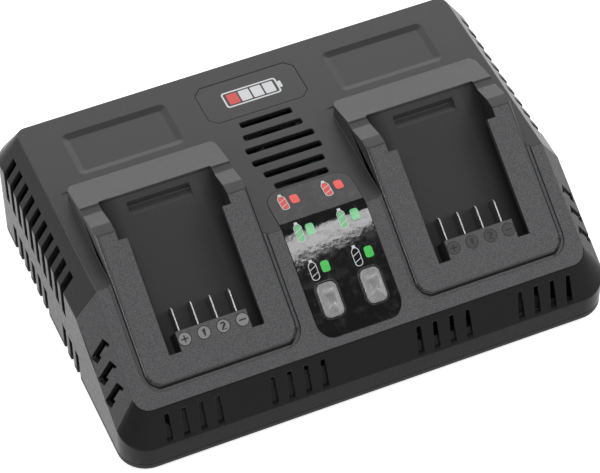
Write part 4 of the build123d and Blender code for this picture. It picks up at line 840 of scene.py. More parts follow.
class CHARGER_OT_panel(bpy.types.Operator):
    """Black glossy sheet bent over the edge of the deck, with its lamps and battery signs"""

    bl_idname = "charger.panel"
    bl_label = "Indicator panel"

    def execute(self, context):
        sheet = Finish("panel gloss", looks().panel_colour, 0.05)
        sheet.tint((7.0, 5.0, 0.65), (0.03, 0.03, 0.03), 1.0, 0.5, 0.68)
        sheet.wear((3.0, 4.0), 0.03, 0.08).bump((1.6, 3.0), 0.008).bump((9.0, 2.0), 0.04)
        start, end = PANEL_ENDS
        outline = rounded(
            PANEL_WIDTH, end - start, PANEL_CORNER, steps=10, centre=(0.0, (start + end) / 2),
        )
        holes = [
            rounded(*BUTTON_HOLE, steps=6, centre=(x, along_panel(y)))
            for x, y in BUTTON_SPOTS.values()
        ]
        bent = laid(filled(outline, *holes), on_panel, -PANEL_THICK, 0.0, SHEET_STEP)
        piece(
            "panel_sheet", [bent], sheet, crease=35.0,
            slot="overlay", stands_for=["indicator_overlay"],
        )
        lines, fills = [], {"red": [], "pale": []}
        for row, (row_y, lamps, signs, strength, slot) in LAMPS.items():
            colour = getattr(looks(), f"{row}_colour")
            lens = Finish(f"{row} lamp window", colour, 0.18).glow(colour, strength)
            lens.tint((1.6, 2.0), shade(colour, 0.7), 0.5).bump((0.5, 2.0), 0.01)
            windows = [
                laid(filled(rounded(*WINDOW)), panel_spot(x, row_y), *WINDOW_FACES, PRINT_STEP)
                for x in lamps
            ]
            piece(f"{row}_windows", windows, lens, slot=slot)
            for x, y in signs:
                spot = panel_spot(x, y)
                marks = [(cell_outline(0.0), cell_outline(SIGN_LINE))]
                for level in SIGN_BARS:
                    bar = [(-1.85, level - 0.85), (1.85, level + 0.85)]
                    marks.append((stroke(bar, SIGN_LINE),))
                lines += [laid(filled(*mark), spot, *SIGN_INK, PRINT_STEP) for mark in marks]
                if row in fills:
                    cells = laid(filled(cell_outline(0.5)), spot, *CELL_INK, PRINT_STEP)
                    fills[row].append(cells)
        ink = printed("panel white ink", looks().print_colour)
        piece("battery_signs", lines, ink, slot="overlay")
        for row, cells in fills.items():
            colour = getattr(looks(), f"{row}_colour")
            # Painted light: the printed cells glow faintly of their own.
            cell_ink = printed(f"{row} cell ink", colour).glow(colour, 0.10)
            piece(f"{row}_cells", cells, cell_ink, slot="overlay")
        return {"FINISHED"}


# ---- push buttons ----
BUTTON_LEVELS = (
    # width, length and corner of each ring of a button, and its depth under the bay face
    (4.8, 4.8, 2.39, 12.2), (4.8, 4.8, 2.39, 5.3), (5.4, 5.4, 2.6, 5.0),
    (12.8, 20.0, 4.1, 5.0), (13.0, 20.2, 4.2, 4.9), (13.0, 20.2, 4.2, 4.1),
    (12.8, 20.0, 4.1, 4.0), (10.6, 17.8, 3.3, 4.0), (10.4, 17.6, 3.2, 3.8),
    (10.4, 17.6, 3.2, 0.75), (10.25, 17.45, 3.15, 0.38), (9.85, 17.05, 3.0, 0.12),
    (9.3, 16.5, 2.8, 0.0),
)
BUTTON_STEPS = 8             # points to a corner of a ring
CAP_RINGS = 8                # rings on the cap, inside its edge
BUTTON_RIM = ((12.5, 19.7, 4.1), (11.1, 18.3, 3.6))
RIM_FACES = (-0.05, 0.30)
RIM_STEP = 1.2
CAP_FALL = 0.04              # of the cap behind its dish
DISH_START, DISH_LENGTH, DISH_HALF, DISH_DEPTH, DISH_SKEW = 2.6, 11.4, 5.2, 0.62, 0.7


def button_top(u, v):
    """Height of the cap at a spot: flat at the rear, dished towards the front."""
    if v > DISH_START:
        return -CAP_FALL * (v - DISH_START)
    share = (DISH_START - v) / DISH_LENGTH
    return -DISH_DEPTH * math.sin(math.pi * share ** DISH_SKEW) * (1 - (u / DISH_HALF) ** 2)


class CHARGER_OT_buttons(bpy.types.Operator):
    """Two smoky push buttons, each with the flange that holds it and the stem on its switch"""

    bl_idname = "charger.buttons"
    bl_label = "Push buttons"

    def execute(self, context):
        colour = looks().button_colour
        smoke = Finish(
            "smoky button plastic", colour, 0.26, Coat_Weight=0.3, Coat_Roughness=0.10,
            Subsurface_Weight=0.15, Subsurface_Scale=0.002,
        )
        streaks = smoke.noise(4.0, 3.0, stretch=(0.5, 2.0, 1.0))
        smoke.tint(streaks, shade(colour, 0.72), 0.9).tint((1.4, 2.0), shade(colour, 1.25), 0.5)
        smoke.wear((1.5, 3.0), 0.20, 0.34).bump((0.9, 3.0), 0.012)
        gloss = lacquered("button rim gloss", (0.030, 0.030, 0.031), 0.12)
        outer, inner = (rounded(*outline, BUTTON_STEPS) for outline in BUTTON_RIM)
        rims = [
            laid(filled(outer, inner), panel_spot(x, y), *RIM_FACES, RIM_STEP)
            for x, y in BUTTON_SPOTS.values()
        ]
        piece("button_rims", rims, gloss, crease=30.0, slot="overlay")
        for side, (x, y) in BUTTON_SPOTS.items():
            place = bay_spot(x, y - BAY_RISE * math.sin(SLOPE))
            rings = [
                [place(u, v, -depth) for u, v in rounded(*outline, BUTTON_STEPS)]
                for *outline, depth in BUTTON_LEVELS
            ]
            edge = rounded(*BUTTON_LEVELS[-1][:3], BUTTON_STEPS)
            for step in range(1, CAP_RINGS + 1):
                share = 1 - step / (CAP_RINGS + 1)
                spots = [(u * share, v * share) for u, v in edge]
                fade = 1 - share ** 6
                rings.append([place(u, v, fade * button_top(u, v)) for u, v in spots])
            piece(
                f"{side}_button_cap", [skinned(rings)], smoke, crease=40.0,
                body=f"{side}_button", slot="button", stands_for=[f"{side}_button"],
            )
        return {"FINISHED"}


# ---- contacts ----
MARK_Y = -63.5
MARK_R, MARK_INNER_R = 3.5, 3.05
MARK_LINE = 0.72
MARK_STEPS = 40
BLADE_EDGE = 0.16            # rounding of the blades' edges
RIM_INK, DISC_FACES, SIGN_FACES = (-0.05, 0.03), (-0.05, 0.10), (0.05, 0.12)
SIGNS = {
    "plus": ([(-1.8, 0.0), (1.8, 0.0)], [(0.0, -1.8), (0.0, 1.8)]),
    "signal_1": ([(-0.7, 1.1), (0.15, 1.8), (0.15, -1.8)],),
    "signal_2": ([(-1.0, 1.1), (-0.5, 1.75), (0.5, 1.7), (1.0, 0.9), (-1.0, -1.6), (1.2, -1.6)],),
    "minus": ([(-1.8, 0.0), (1.8, 0.0)],),
}


class CHARGER_OT_contacts(bpy.types.Operator):
    """Plated contact blades and the round marks in front of them"""

    bl_idname = "charger.contacts"
    bl_label = "Contacts"

    def execute(self, context):
        case = looks().case_colour
        nickel = metal("blade nickel", looks().blade_colour, 0.36, (1.0, 8.0, 1.0), 0.003)
        faces = {
            "left": moulded("pale mark plastic", looks().mark_colour, 0.35, 0.3, 0.004),
            "right": moulded("case mark plastic", shade(case, 1.3), 0.45, 0.4, 0.02),
        }
        dark = moulded("dark mark plastic", shade(case, 0.35), 0.5, 0.3, 0.004)
        for side in SIDES:
            discs, rims, signs = [], [], []
            outer, inner = (disc(radius, MARK_STEPS) for radius in (MARK_R, MARK_INNER_R))
            for index, blade in enumerate(BLADES):
                name = f"{side}_{blade}"
                softened(
                    f"{name}_contact", f"{name}_blade", BLADE_EDGE, nickel,
                    slot="blade", angle=20.0,
                )
                spot = bay_spot(BAY_X[side] + BLADE_PITCH * (index - 1.5), MARK_Y)
                rims.append(laid(filled(outer, inner), spot, *RIM_INK))
                discs.append(laid(filled(inner), spot, *DISC_FACES))
                for line in SIGNS[blade]:
                    signs.append(laid(filled(stroke(line, MARK_LINE)), spot, *SIGN_FACES))
            piece(f"{side}_mark_discs", discs, faces[side], slot="terminal")
            piece(f"{side}_mark_rims", rims, dark, slot="terminal")
            piece(f"{side}_mark_signs", signs, dark, slot="terminal")
        return {"FINISHED"}


# ---- boards and leads ----
RED_INSULATION = (0.52, 0.02, 0.02)
LEG_TIN = (0.60, 0.60, 0.58)
SOLDER_TIN = (0.62, 0.62, 0.60)
CHIP_LEGS = (12.4, 12.2)     # heights between which the control chips' legs begin
PIN_PITCH, CORE_PITCH = 2.5, 1.0     # of the headers and of the ribbon
RED_CORE = (-4.3, -4.5)      # places between which the ribbon turns red
LEADS = (
    # node, axis and places between which its leads turn from black to red
    ("left_terminal_leads", "X", BAY_X["left"] - 13.5, BAY_X["left"] - 14.0),
    ("right_terminal_leads", "X", BAY_X["right"] - 13.5, BAY_X["right"] - 14.0),
    ("fan_leads", "Y", 6.2, 6.4),
)
CHIP_ROWS = (-15.0, -11.5, -8.0, -4.5, -1.0)
CHIP_COLUMNS = range(22, 96, 4)
CHIP_BODY, BODY_HEIGHT = (1.5, 1.2, 0.1, 1), 0.62    # outline as rounded takes it, and height
CHIP_END, END_HEIGHT, END_X = (0.34, 1.26, 0.05, 1), 0.66, 0.9


def dress(finish, *nodes):
    """Gives nodes whose shape stays the finish in their own material slots."""
    for node in nodes:
        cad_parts[node].material_slots[0].material = finish.material


def circuit(name):
    """Solder mask over copper tracks, with tinned pads."""
    finish = Finish(name, (0.008, 0.075, 0.030), 0.32, Coat_Weight=0.35, Coat_Roughness=0.15)
    region = finish.spread((16.0, 1.0), 0.0, 1.0, 0.49, 0.51)
    along = finish.bricks(26.0, 1.9, 0.28)
    across = finish.bricks(19.0, 2.6, 0.4, turn=math.pi / 2)
    tracks = finish.add("ShaderNodeMix", i0=region, i2=along, i3=across)
    finish.tint(tracks, (0.016, 0.140, 0.055), 0.9)
    finish.tint((30.0, 3.0), (0.006, 0.060, 0.026), 0.5)
    finish.plated(finish.spread(finish.cells(3.4), 1.0, 0.0, 0.13, 0.16), SOLDER_TIN)
    return finish.wear((2.0, 3.0), 0.26, 0.40).bump(tracks, 0.035).bump((0.6, 2.0), 0.006)


class CHARGER_OT_boards(bpy.types.Operator):
    """Main and indicator boards with their chips, headers, sockets, leads and small parts"""

    bl_idname = "charger.boards"
    bl_label = "Boards and leads"

    def execute(self, context):
        dress(circuit("main board mask"), "main_board")
        dress(circuit("indicator board mask"), "indicator_board")
        epoxy = moulded("chip epoxy", (0.020, 0.020, 0.021), 0.55, 0.25, 0.006)
        epoxy.tint(epoxy.span("Z", *CHIP_LEGS), (0.45, 0.45, 0.44), 0.9)
        dress(epoxy, "control_chips")
        ivory = moulded("ivory header nylon", (0.74, 0.71, 0.62), 0.42, 0.4, 0.008)
        ivory.bump(ivory.lines(PIN_PITCH), 0.12)
        dress(ivory, "terminal_headers", "ribbon_sockets", "fan_header", "inlet_connector")
        grey = Finish("ribbon insulation", (0.34, 0.34, 0.36), 0.45)
        grey.tint((3.0, 2.0), (0.28, 0.28, 0.30), 0.6)
        grey.tint(grey.span("X", *RED_CORE), (0.55, 0.03, 0.03))
        grey.bump(grey.lines(CORE_PITCH), 0.25)
        dress(grey, "indicator_ribbon")
        for node, axis, black_end, red_end in LEADS:
            lead = Finish(f"{node} insulation", (0.022, 0.022, 0.024), 0.42)
            lead.tint(lead.span(axis, black_end, red_end), RED_INSULATION)
            lead.tint((4.0, 3.0), (0.06, 0.05, 0.05), 0.3)
            dress(lead.wear((1.5, 2.0), 0.36, 0.5).bump((0.5, 2.0), 0.008), node)

        scatter = Pattern("Board chips", Seed=7, Share=0.5, Part=None)
        given = scatter.inputs
        drop = scatter.add(
            "FunctionNodeCompare", {"operation": "GREATER_THAN"},
            i0=scatter.random("FLOAT", 0.0, 1.0, 0), i1=given["Share"],
        )
        kept = scatter.add(
            "GeometryNodeDeleteGeometry", {"domain": "POINT"},
            Geometry=given["Geometry"], Selection=drop,
        )
        quarter = scatter.add(
            "ShaderNodeMath", {"operation": "MULTIPLY"},
            i0=scatter.random("INT", 0, 1, 1), i1=math.pi / 2,
        )
        scatter.finish(kept, scatter.part(), scatter.add("ShaderNodeCombineXYZ", Z=quarter))
        rows = [(x, y) for y in CHIP_ROWS for x in CHIP_COLUMNS]
        spots = [(side * x, y, BOARD_TOP) for side in (-1, 1) for x, y in rows]
        body = laid(filled(rounded(*CHIP_BODY)), level_spot(0, 0, 0), 0.0, BODY_HEIGHT)
        ends = [
            laid(filled(rounded(*CHIP_END)), level_spot(x, 0, 0), 0.0, END_HEIGHT)
            for x in (-END_X, END_X)
        ]
        buff = moulded("chip part ceramic", (0.20, 0.15, 0.10), 0.5, 0.3, 0.004)
        buff.tint((5.0, 0.0), (0.03, 0.03, 0.03))
        tin = metal("tinned ends", SOLDER_TIN, 0.35)
        for name, shapes, finish, slot in (
            ("chip_part_bodies", [body], buff, "package"), ("chip_part_ends", ends, tin, "blade"),
        ):
            mesh = scatter.grown(name, finish, spots, together(shapes, "chip part"))
            piece(name, mesh, finish, slot=slot)
        return {"FINISHED"}


# ---- power parts ----
FUSE_CAPS = (4.6, 4.9)       # distances from the fuse's middle between which its caps begin
TAB_START = (7.5, 7.6)       # y between which the packages' metal tabs begin
BARE_TOP, BARE_DEPTH = 0.835, 0.12   # reach and depth of a can's bare top, in radii


def with_legs(finish, height):
    """Tins what lies less than height over the main board."""
    top = BOARD_TOP + height
    return finish.plated(finish.span("Z", top + 0.1, top - 0.1), LEG_TIN)


def can_profile(r, foot, head):
    """Profile of a can capacitor: a sleeve with a groove round its foot, and the bare top."""
    groove, line = r / 12, foot + r / 3
    return [
        (0.9 * r, foot), (r, foot + 0.3), (r, line), (r - 0.7 * groove, line + 0.35 * groove),
        (r - groove, line + groove), (r - 0.7 * groove, line + 1.65 * groove),
        (r, line + 2 * groove), (r, head - BARE_DEPTH * r), (0.98 * r, head - 0.05 * r),
        (0.93 * r, head - 0.01 * r), (0.88 * r, head), (0.84 * r, head - 0.02 * r),
        (0.82 * r, head - 0.05 * r), (0.80 * r, head - 0.05 * r), (0.30 * r, head - 0.05 * r),
    ]


class CHARGER_OT_power(bpy.types.Operator):
    """Mains and power parts: fuse, varistor, capacitors, bridge, heatsinks and packages"""

    bl_idname = "charger.power"
    bl_label = "Power parts"

    def execute(self, context):
        glass = Finish("fuse glass", (0.66, 0.70, 0.68), 0.08, Transmission_Weight=0.5)
        glass.tint((3.0, 2.0), (0.55, 0.58, 0.56), 0.5)
        caps = glass.span("X", *FUSE_CAPS, about=(middle("fuse").x,))
        glass.plated(caps, (0.66, 0.65, 0.62))
        dress(glass.wear((1.0, 3.0), 0.06, 0.2).bump((0.8, 2.0), 0.006), "fuse")
        dress(with_legs(lacquered("varistor lacquer", (0.03, 0.09, 0.36)), 2.0), "varistor")
        film = lacquered("film capacitor shell", (0.62, 0.42, 0.035), 0.35, 0.1)
        dress(film.bump((0.4, 2.0), 0.01), "x_capacitor")
        bridge = moulded("bridge epoxy", (0.018, 0.018, 0.019), 0.5, 0.3, 0.01)
        dress(with_legs(bridge, 3.0), "bridge_rectifier")
        body = moulded("package epoxy", (0.016, 0.016, 0.017), 0.5, 0.3, 0.01)
        body.plated(body.span("Y", *TAB_START), LEG_TIN)
        dress(with_legs(body, 5.0), "power_transistors", "output_rectifiers")
        mill = metal("heatsink aluminium", (0.66, 0.67, 0.68), 0.38, (1.0, 1.0, 14.0), 0.01)
        dress(mill, "primary_heatsink", "secondary_heatsink")
        ferrite = Finish("sintered ferrite", (0.035, 0.035, 0.037), 0.62)
        ferrite.tint((0.5, 4.0), (0.075, 0.075, 0.078), 0.8)
        ferrite.wear((3.0, 3.0), 0.5, 0.75).bump((0.7, 4.0, 0.65), 0.05)
        dress(ferrite, "transformer_core", "mains_choke_core")

        bare = metal("can aluminium", (0.70, 0.71, 0.72), 0.3, (4.0, 4.0, 1.0))
        for node, sleeve_name, colour in (
            ("bulk_capacitors", "bulk can sleeve", (0.020, 0.026, 0.075)),
            ("output_capacitors", "output can sleeve", (0.012, 0.045, 0.040)),
        ):
            sleeve = lacquered(sleeve_name, colour, 0.28)
            sizes = list(round_parts(node))
            cans = [lathe(can_profile(r, foot, head), x, y) for x, y, r, foot, head in sizes]
            obj = piece(
                f"{node[:-1]}_cans", cans, sleeve, bare, crease=50.0,
                slot="can", stands_for=[node],
            )
            for face in obj.data.polygons:
                spot = face.center / MM
                face.material_index = int(any(
                    math.dist(spot.xy, (x, y)) < BARE_TOP * r and spot.z > head - BARE_DEPTH * r
                    for x, y, r, _, head in sizes
                ))
        return {"FINISHED"}


# ---- windings ----
CHOKE_TURNS = 7              # on each side of the ring
CHOKE_STEP = 16.7            # degrees from turn to turn
CHOKE_CORNER = 1.2
CORE_LEG = (13.2, 18.2, 0.2, 1)
FLANGE, FLANGE_CORNER = 0.9, 5.0
TAPE_INSET, TAPE_CORNER = 3.2, 4.2           # insets are of the whole width
WIRE_INSET, WIRE_CORNER, WIRE_R = 2.0, 4.6, 0.35
WIRE_PITCH, WIRE_TURNS = 0.72, 26


class CHARGER_OT_windings(bpy.types.Operator):
    """Copper turns of the mains choke and the transformer, wound loop by loop"""

    bl_idname = "charger.windings"
    bl_label = "Windings"

    def execute(self, context):
        # Every loop is square to the line from its Centre, so a ring of points winds a ring core.
        wound = Pattern(
            "Wire loops", Centre=(0.0, 0.0, 0.0), Tilt=(0.0, 0.0, 0.0),
            Width=0.01, Height=0.01, Corner=0.001, Wire=0.0005,
        )
        given = wound.inputs
        loop = wound.add(
            "GeometryNodeCurvePrimitiveQuadrilateral", Width=given["Width"], Height=given["Height"],
        )
        bent = wound.add(
            "GeometryNodeFilletCurve", {"mode": "POLY"},
            Curve=loop, Radius=given["Corner"], Count=4,
        )
        ring = wound.add("GeometryNodeCurvePrimitiveCircle", Resolution=8, Radius=given["Wire"])
        wire = wound.add("GeometryNodeCurveToMesh", Curve=bent, Profile_Curve=ring)
        stood = wound.add("GeometryNodeTransform", Geometry=wire, Rotation=given["Tilt"])
        away = wound.vector("SUBTRACT", wound.add("GeometryNodeInputPosition"), given["Centre"])
        level = wound.vector("MULTIPLY", away, (1.0, 1.0, 0.0))
        level = wound.vector("ADD", level, (1e-6, 0.0, 0.0))     # never without a direction
        turn = wound.add("FunctionNodeAlignRotationToVector", {"axis": "X"}, Vector=level)
        wound.finish(given["Geometry"], stood, turn)

        copper = Finish(
            "enamelled copper", (0.62, 0.23, 0.075), 0.28,
            Metallic=0.9, Coat_Weight=0.5, Coat_Roughness=0.1,
        )
        copper.tint((3.0, 3.0), (0.45, 0.15, 0.05), 0.7)
        copper.wear((1.0, 3.0), 0.22, 0.38).bump((0.5, 2.0), 0.01)
        low, high = box_of("mains_choke_core")
        centre = (low + high) / 2
        outer, height = (high.x - low.x) / 2, high.z - low.z
        wire_r = (box_of("mains_choke_winding")[1].z - high.z) / 2
        inner = outer / 2
        steps = [CHOKE_STEP * (index - CHOKE_TURNS // 2) for index in range(CHOKE_TURNS)]
        turns = [math.radians(side + step) for side in (0, 180) for step in steps]
        middle_r = (outer + inner) / 2
        points = [centre + Vector((math.cos(t), math.sin(t), 0)) * middle_r for t in turns]
        mesh = wound.grown(
            "choke_turns", copper, points, Centre=tuple(centre * MM),
            Tilt=(math.pi / 2, 0.0, 0.0), Width=(outer - inner + 2 * wire_r) * MM,
            Height=(height + 2 * wire_r) * MM, Corner=CHOKE_CORNER * MM, Wire=0.95 * wire_r * MM,
        )
        piece(
            "choke_turns", mesh, copper, crease=60.0,
            slot="winding", stands_for=["mains_choke_winding"],
        )

        low, high = box_of("transformer_winding")
        centre, size = (low + high) / 2, high - low
        spot = level_spot(centre.x, centre.y, low.z)
        leg = rounded(*CORE_LEG)
        flanges = [
            laid(filled(rounded(size.x, size.y, FLANGE_CORNER), leg), spot, foot, foot + FLANGE)
            for foot in (0.0, size.z - FLANGE)
        ]
        nylon = moulded("bobbin nylon", (0.022, 0.022, 0.022), 0.45, 0.4, 0.01)
        piece("transformer_bobbin", flanges, nylon, slot="winding")
        tape = lacquered("winding tape", (0.60, 0.42, 0.03), 0.3, 0.2)
        wrap = rounded(size.x - TAPE_INSET, size.y - TAPE_INSET, TAPE_CORNER)
        core = laid(filled(wrap, leg), spot, FLANGE, size.z - FLANGE)
        piece("transformer_tape", [core], tape, slot="winding")
        first = low.z + (size.z - WIRE_PITCH * (WIRE_TURNS - 1)) / 2
        heights = [first + WIRE_PITCH * index for index in range(WIRE_TURNS)]
        mesh = wound.grown(
            "transformer_turns", copper, [(centre.x, centre.y, z) for z in heights],
            Centre=tuple(centre * MM), Tilt=(0.0, 0.0, 0.0), Width=(size.x - WIRE_INSET) * MM,
            Height=(size.y - WIRE_INSET) * MM, Corner=WIRE_CORNER * MM, Wire=WIRE_R * MM,
        )
        piece(
            "transformer_turns", mesh, copper, crease=60.0,
            slot="winding", stands_for=["transformer_winding"],
        )
        return {"FINISHED"}


# ---- screws ----
CROSS_TOP, CROSS_FLOOR, CROSS_DEPTH = (1.3, 0.3), (1.05, 0.22), 0.9     # reach and half width
HEAD_HEIGHT = 2.0
HEAD_PROFILE = (
    # radius and height over the seat, from the edge of the head to the flat round its recess
    (2.5, 0.0), (2.6, 0.12), (2.6, 1.0), (2.48, 1.4), (2.2, 1.72), (1.85, 1.92),
    (1.6, HEAD_HEIGHT),
)
SCREW_STEPS = 24
THREAD_PITCH, THREAD_ROW = 1.0, 0.25
SCREWS = {
    # node: way out of the head, piece's name, seed of their turns
    "case_screws": ((0, 0, -1), "case_screw_set", 3),
    "board_screws": ((0, 0, 1), "board_screw_set", 5),
    "fan_screws": ((0, 0, -1), "fan_screw_set", 8),
    "indicator_screws": (tuple(-OFF_SLOPE), "indicator_screw_set", 11),
    "terminal_screws": (tuple(-OFF_SLOPE), "terminal_screw_set", 17),
}


def cross(reach, half):
    """Outline of the recess in a screw's head."""
    corner = [(reach, -half), (reach, half), (half, half)]
    points = []
    for turn in range(4):
        c, s = round(math.cos(turn * math.pi / 2)), round(math.sin(turn * math.pi / 2))
        points += [(c * x - s * y, s * x + c * y) for x, y in corner]
    return points


def screw_shape(length, shank):
    """Pan-head screw with a cross recess and a thread, its seat at the origin, its head up."""
    tooth = 0.28 * shank

    def thread(z, step):
        share = (z / THREAD_PITCH - step / SCREW_STEPS) % 1.0
        return shank - tooth * min(1.0, 3.0 * abs(share - 0.5))

    rings = [at_height(disc(0.25 * shank, SCREW_STEPS), -length)]
    for row in range(int((length - shank) / THREAD_ROW) + 1):
        z = -length + shank + row * THREAD_ROW
        ring = []
        for step in range(SCREW_STEPS):
            r = thread(z, step)
            angle = 2 * math.pi * step / SCREW_STEPS
            ring.append(Vector((r * math.cos(angle), r * math.sin(angle), z)))
        rings.append(ring)
    for r, z in ((0.85 * shank, 0.0), *HEAD_PROFILE):
        rings.append(at_height(disc(r, SCREW_STEPS), z))
    whole = skinned(rings, close_end=False)
    outline, floor = cross(*CROSS_TOP), cross(*CROSS_FLOOR)
    top, base = filled(disc(HEAD_PROFILE[-1][0], SCREW_STEPS), outline), filled(floor)
    walls = [at_height(outline, 0), at_height(floor, -CROSS_DEPTH)]
    bmesh.ops.translate(base, verts=base.verts, vec=(0, 0, -CROSS_DEPTH))
    for shape in (top, skinned(walls, close_start=False, close_end=False), base):
        bmesh.ops.translate(shape, verts=shape.verts, vec=(0, 0, HEAD_HEIGHT))
        absorb(whole, shape)
    bmesh.ops.remove_doubles(whole, verts=whole.verts, dist=1e-4)
    bmesh.ops.recalc_face_normals(whole, faces=whole.faces)
    return smoothed(together([whole], "screw"), 32.0)


class CHARGER_OT_screws(bpy.types.Operator):
    """Cross-recess screws of the case, boards, fan and terminal blocks, each turned its own way"""

    bl_idname = "charger.screws"
    bl_label = "Screws"

    def execute(self, context):
        driven = Pattern("Driven screws", Seed=1, Way_Out=(0.0, 0.0, 1.0), Part=None)
        given = driven.inputs
        stand = driven.add(
            "FunctionNodeAlignRotationToVector", {"axis": "Z"}, Vector=given["Way_Out"],
        )
        spin = driven.add("ShaderNodeCombineXYZ", Z=driven.random("FLOAT", 0.0, math.pi / 2, 0))
        own = driven.add("FunctionNodeEulerToRotation", Euler=spin)
        local = {"rotation_space": "LOCAL"}
        turn = driven.add("FunctionNodeRotateRotation", local, i0=stand, i1=own)
        driven.finish(given["Geometry"], driven.part(), turn)
        zinc = metal("zinc plate", (0.55, 0.55, 0.56), 0.3, (1.0, 1.0, 1.0))
        zinc.tint((1.2, 4.0), (0.40, 0.39, 0.36), 0.5)
        black = metal("black oxide", (0.11, 0.11, 0.115), 0.4, (1.0, 1.0, 1.0))
        for node, (way, name, seed) in SCREWS.items():
            axis = Vector(way).normalized()
            side = axis.orthogonal().normalized()
            other = axis.cross(side)
            seats = []
            for solid in separate_parts(node):
                spans = [[vert.dot(line) for vert in solid] for line in (side, other, axis)]
                across, along, out = ((min(span), max(span)) for span in spans)
                length = out[1] - out[0] - HEAD_HEIGHT
                seat = side * sum(across) / 2 + other * sum(along) / 2
                seats.append(seat + axis * (out[1] - HEAD_HEIGHT))
            finish, shank = (black, 1.5) if node == "case_screws" else (zinc, 1.25)
            mesh = driven.grown(
                name, finish, seats, screw_shape(length, shank), Seed=seed, Way_Out=tuple(axis),
            )
            piece(name, mesh, finish, slot="screw", stands_for=[node])
        return {"FINISHED"}


# ---- fan, controls and fittings ----
class CHARGER_OT_fan(bpy.types.Operator):
    """Cooling fan: frame, rotor, stator and bearing"""

    bl_idname = "charger.fan"
    bl_label = "Fan"

    def execute(self, context):
        for node, name, roughness, gloss in (
            ("fan_frame", "fan plastic", 0.6, 0.25), ("fan_rotor", "fan rotor plastic", 0.62, 0.2),
        ):
            black = (0.010, 0.010, 0.010)
            dress(moulded(name, black, roughness, 0.5, 0.01, Specular_IOR_Level=gloss), node)
        steel = metal("stator laminations", (0.36, 0.36, 0.37), 0.42)
        dress(steel.bump(steel.lines(0.5, "Z"), 0.08), "fan_stator")
        bronze = metal("sintered bronze", (0.50, 0.33, 0.14), 0.45, depth=0.006)
        dress(bronze.bump((0.2, 3.0), 0.02), "fan_bearing")
        return {"FINISHED"}


class CHARGER_OT_controls(bpy.types.Operator):
    """Light guides, lamps, switches with their plungers, and the terminal blocks"""

    bl_idname = "charger.controls"
    bl_label = "Lamps, switches and terminals"

    def execute(self, context):
        # The green guides take the pale lamp colour, with its painted reflection of the glare.
        for row, colour in (("red", looks().red_colour), ("green", looks().pale_colour)):
            guide = Finish(f"{row} light guide", colour, 0.12, Transmission_Weight=0.4)
            guide.tint((2.0, 2.0), shade(colour, 0.75), 0.5).bump((0.8, 2.0), 0.01)
            dress(guide, f"{row}_light_guides")
        dress(lacquered("lamp epoxy", (0.72, 0.72, 0.66), 0.15), "indicator_leds")
        body = moulded("switch body", (0.030, 0.030, 0.031), 0.45, 0.3, 0.01)
        dress(body.bump((0.3, 2.0), 0.004), "left_switch", "right_switch")
        stem = moulded("plunger acetal", (0.42, 0.42, 0.40), 0.38, 0.3, 0.006)
        dress(stem, "left_switch_plunger", "right_switch_plunger")
        block = moulded("terminal block plastic", (0.026, 0.026, 0.027), 0.55, 0.5, 0.02)
        dress(block, "left_terminal_block", "right_terminal_block")
        return {"FINISHED"}


class CHARGER_OT_fittings(bpy.types.Operator):
    """Rubber feet and the cable inlet's grommet"""

    bl_idname = "charger.fittings"
    bl_label = "Feet and grommet"

    def execute(self, context):
        feet = []
        for x, y, r, _, top in round_parts("rubber_feet"):
            profile = [
                (0.4 * r, top), (r - 0.2, top), (r, top - 0.2), (r, 0.7), (r - 0.2, 0.25),
                (r - 0.7, 0.0), (0.62 * r, 0.0), (0.60 * r, 0.08), (0.57 * r, 0.5),
                (0.54 * r, 0.6), (0.3 * r, 0.6),
            ]
            feet.append(lathe(profile, x, y))
        foot = rubber("foot rubber", (0.018, 0.018, 0.018))
        piece("foot_set", feet, foot, crease=50.0, slot="foot", stands_for=["rubber_feet"])
        gland = rubber("grommet rubber", (0.020, 0.020, 0.020))
        softened("grommet_body", "inlet_grommet", 0.3, gland, slot="grommet", angle=25.0)
        return {"FINISHED"}


# ---- stage, in metres ----
CAMERA_PLACE = (-0.3729, -0.9067, 1.1273)
CAMERA_TURN = (-22.399, 48.465, -1.263)     # azimuth, elevation and roll, in degrees
CAMERA_LENS = 174.4
PANEL_Y = -60.0              # in millimetres, where the sheet mirrors the strip light
MIRROR_WAY = (0.2526, -0.4345, 0.8645)      # from there, what the camera sees mirrored
KEY_LIGHTS = (("left key light", -0.55), ("right key light", 0.56))
KEY_AHEAD, KEY_REAR, KEY_SIZE = 1.05, 0.05, (0.78, 0.46)
STRIP_ACROSS, STRIP_REAR, STRIP_SIZE = 0.006, 0.050, (0.45, 0.031)
STRIP_TILT = math.radians(21.0)
SOFT_LIGHTS = (
    ("rear", (0.3, 1.25, 0.85), (1.8, 1.1)),
    ("side", (-1.25, 0.75, 0.50), (1.0, 0.7)),
    ("edge", (-1.16, -0.06, 0.36), (0.16, 0.55)),
)
SOFT_AIM = (0.0, 0.0, 0.05)
BACKDROP_TOP = math.sin(math.radians(22.0))  # the backdrop is white up to here, then fades
CEILING_FOOT = math.sin(math.radians(36.0))  # and is dim from here on
FLOOR_HALF, FLOOR_SINK = 3000.0, 0.05        # in millimetres
FLOOR_GLOW = 0.75


def camera_axes():
    """The camera's right, up and backward directions."""
    turn, tilt, roll = (math.radians(angle) for angle in CAMERA_TURN)
    level_part = math.cos(tilt)
    back = Vector((math.sin(turn) * level_part, -math.cos(turn) * level_part, math.sin(tilt)))
    level = (-back).cross(Vector((0, 0, 1))).normalized()
    upright = level.cross(-back)
    right = math.cos(roll) * level + math.sin(roll) * upright
    up = -math.sin(roll) * level + math.cos(roll) * upright
    return right, up, back


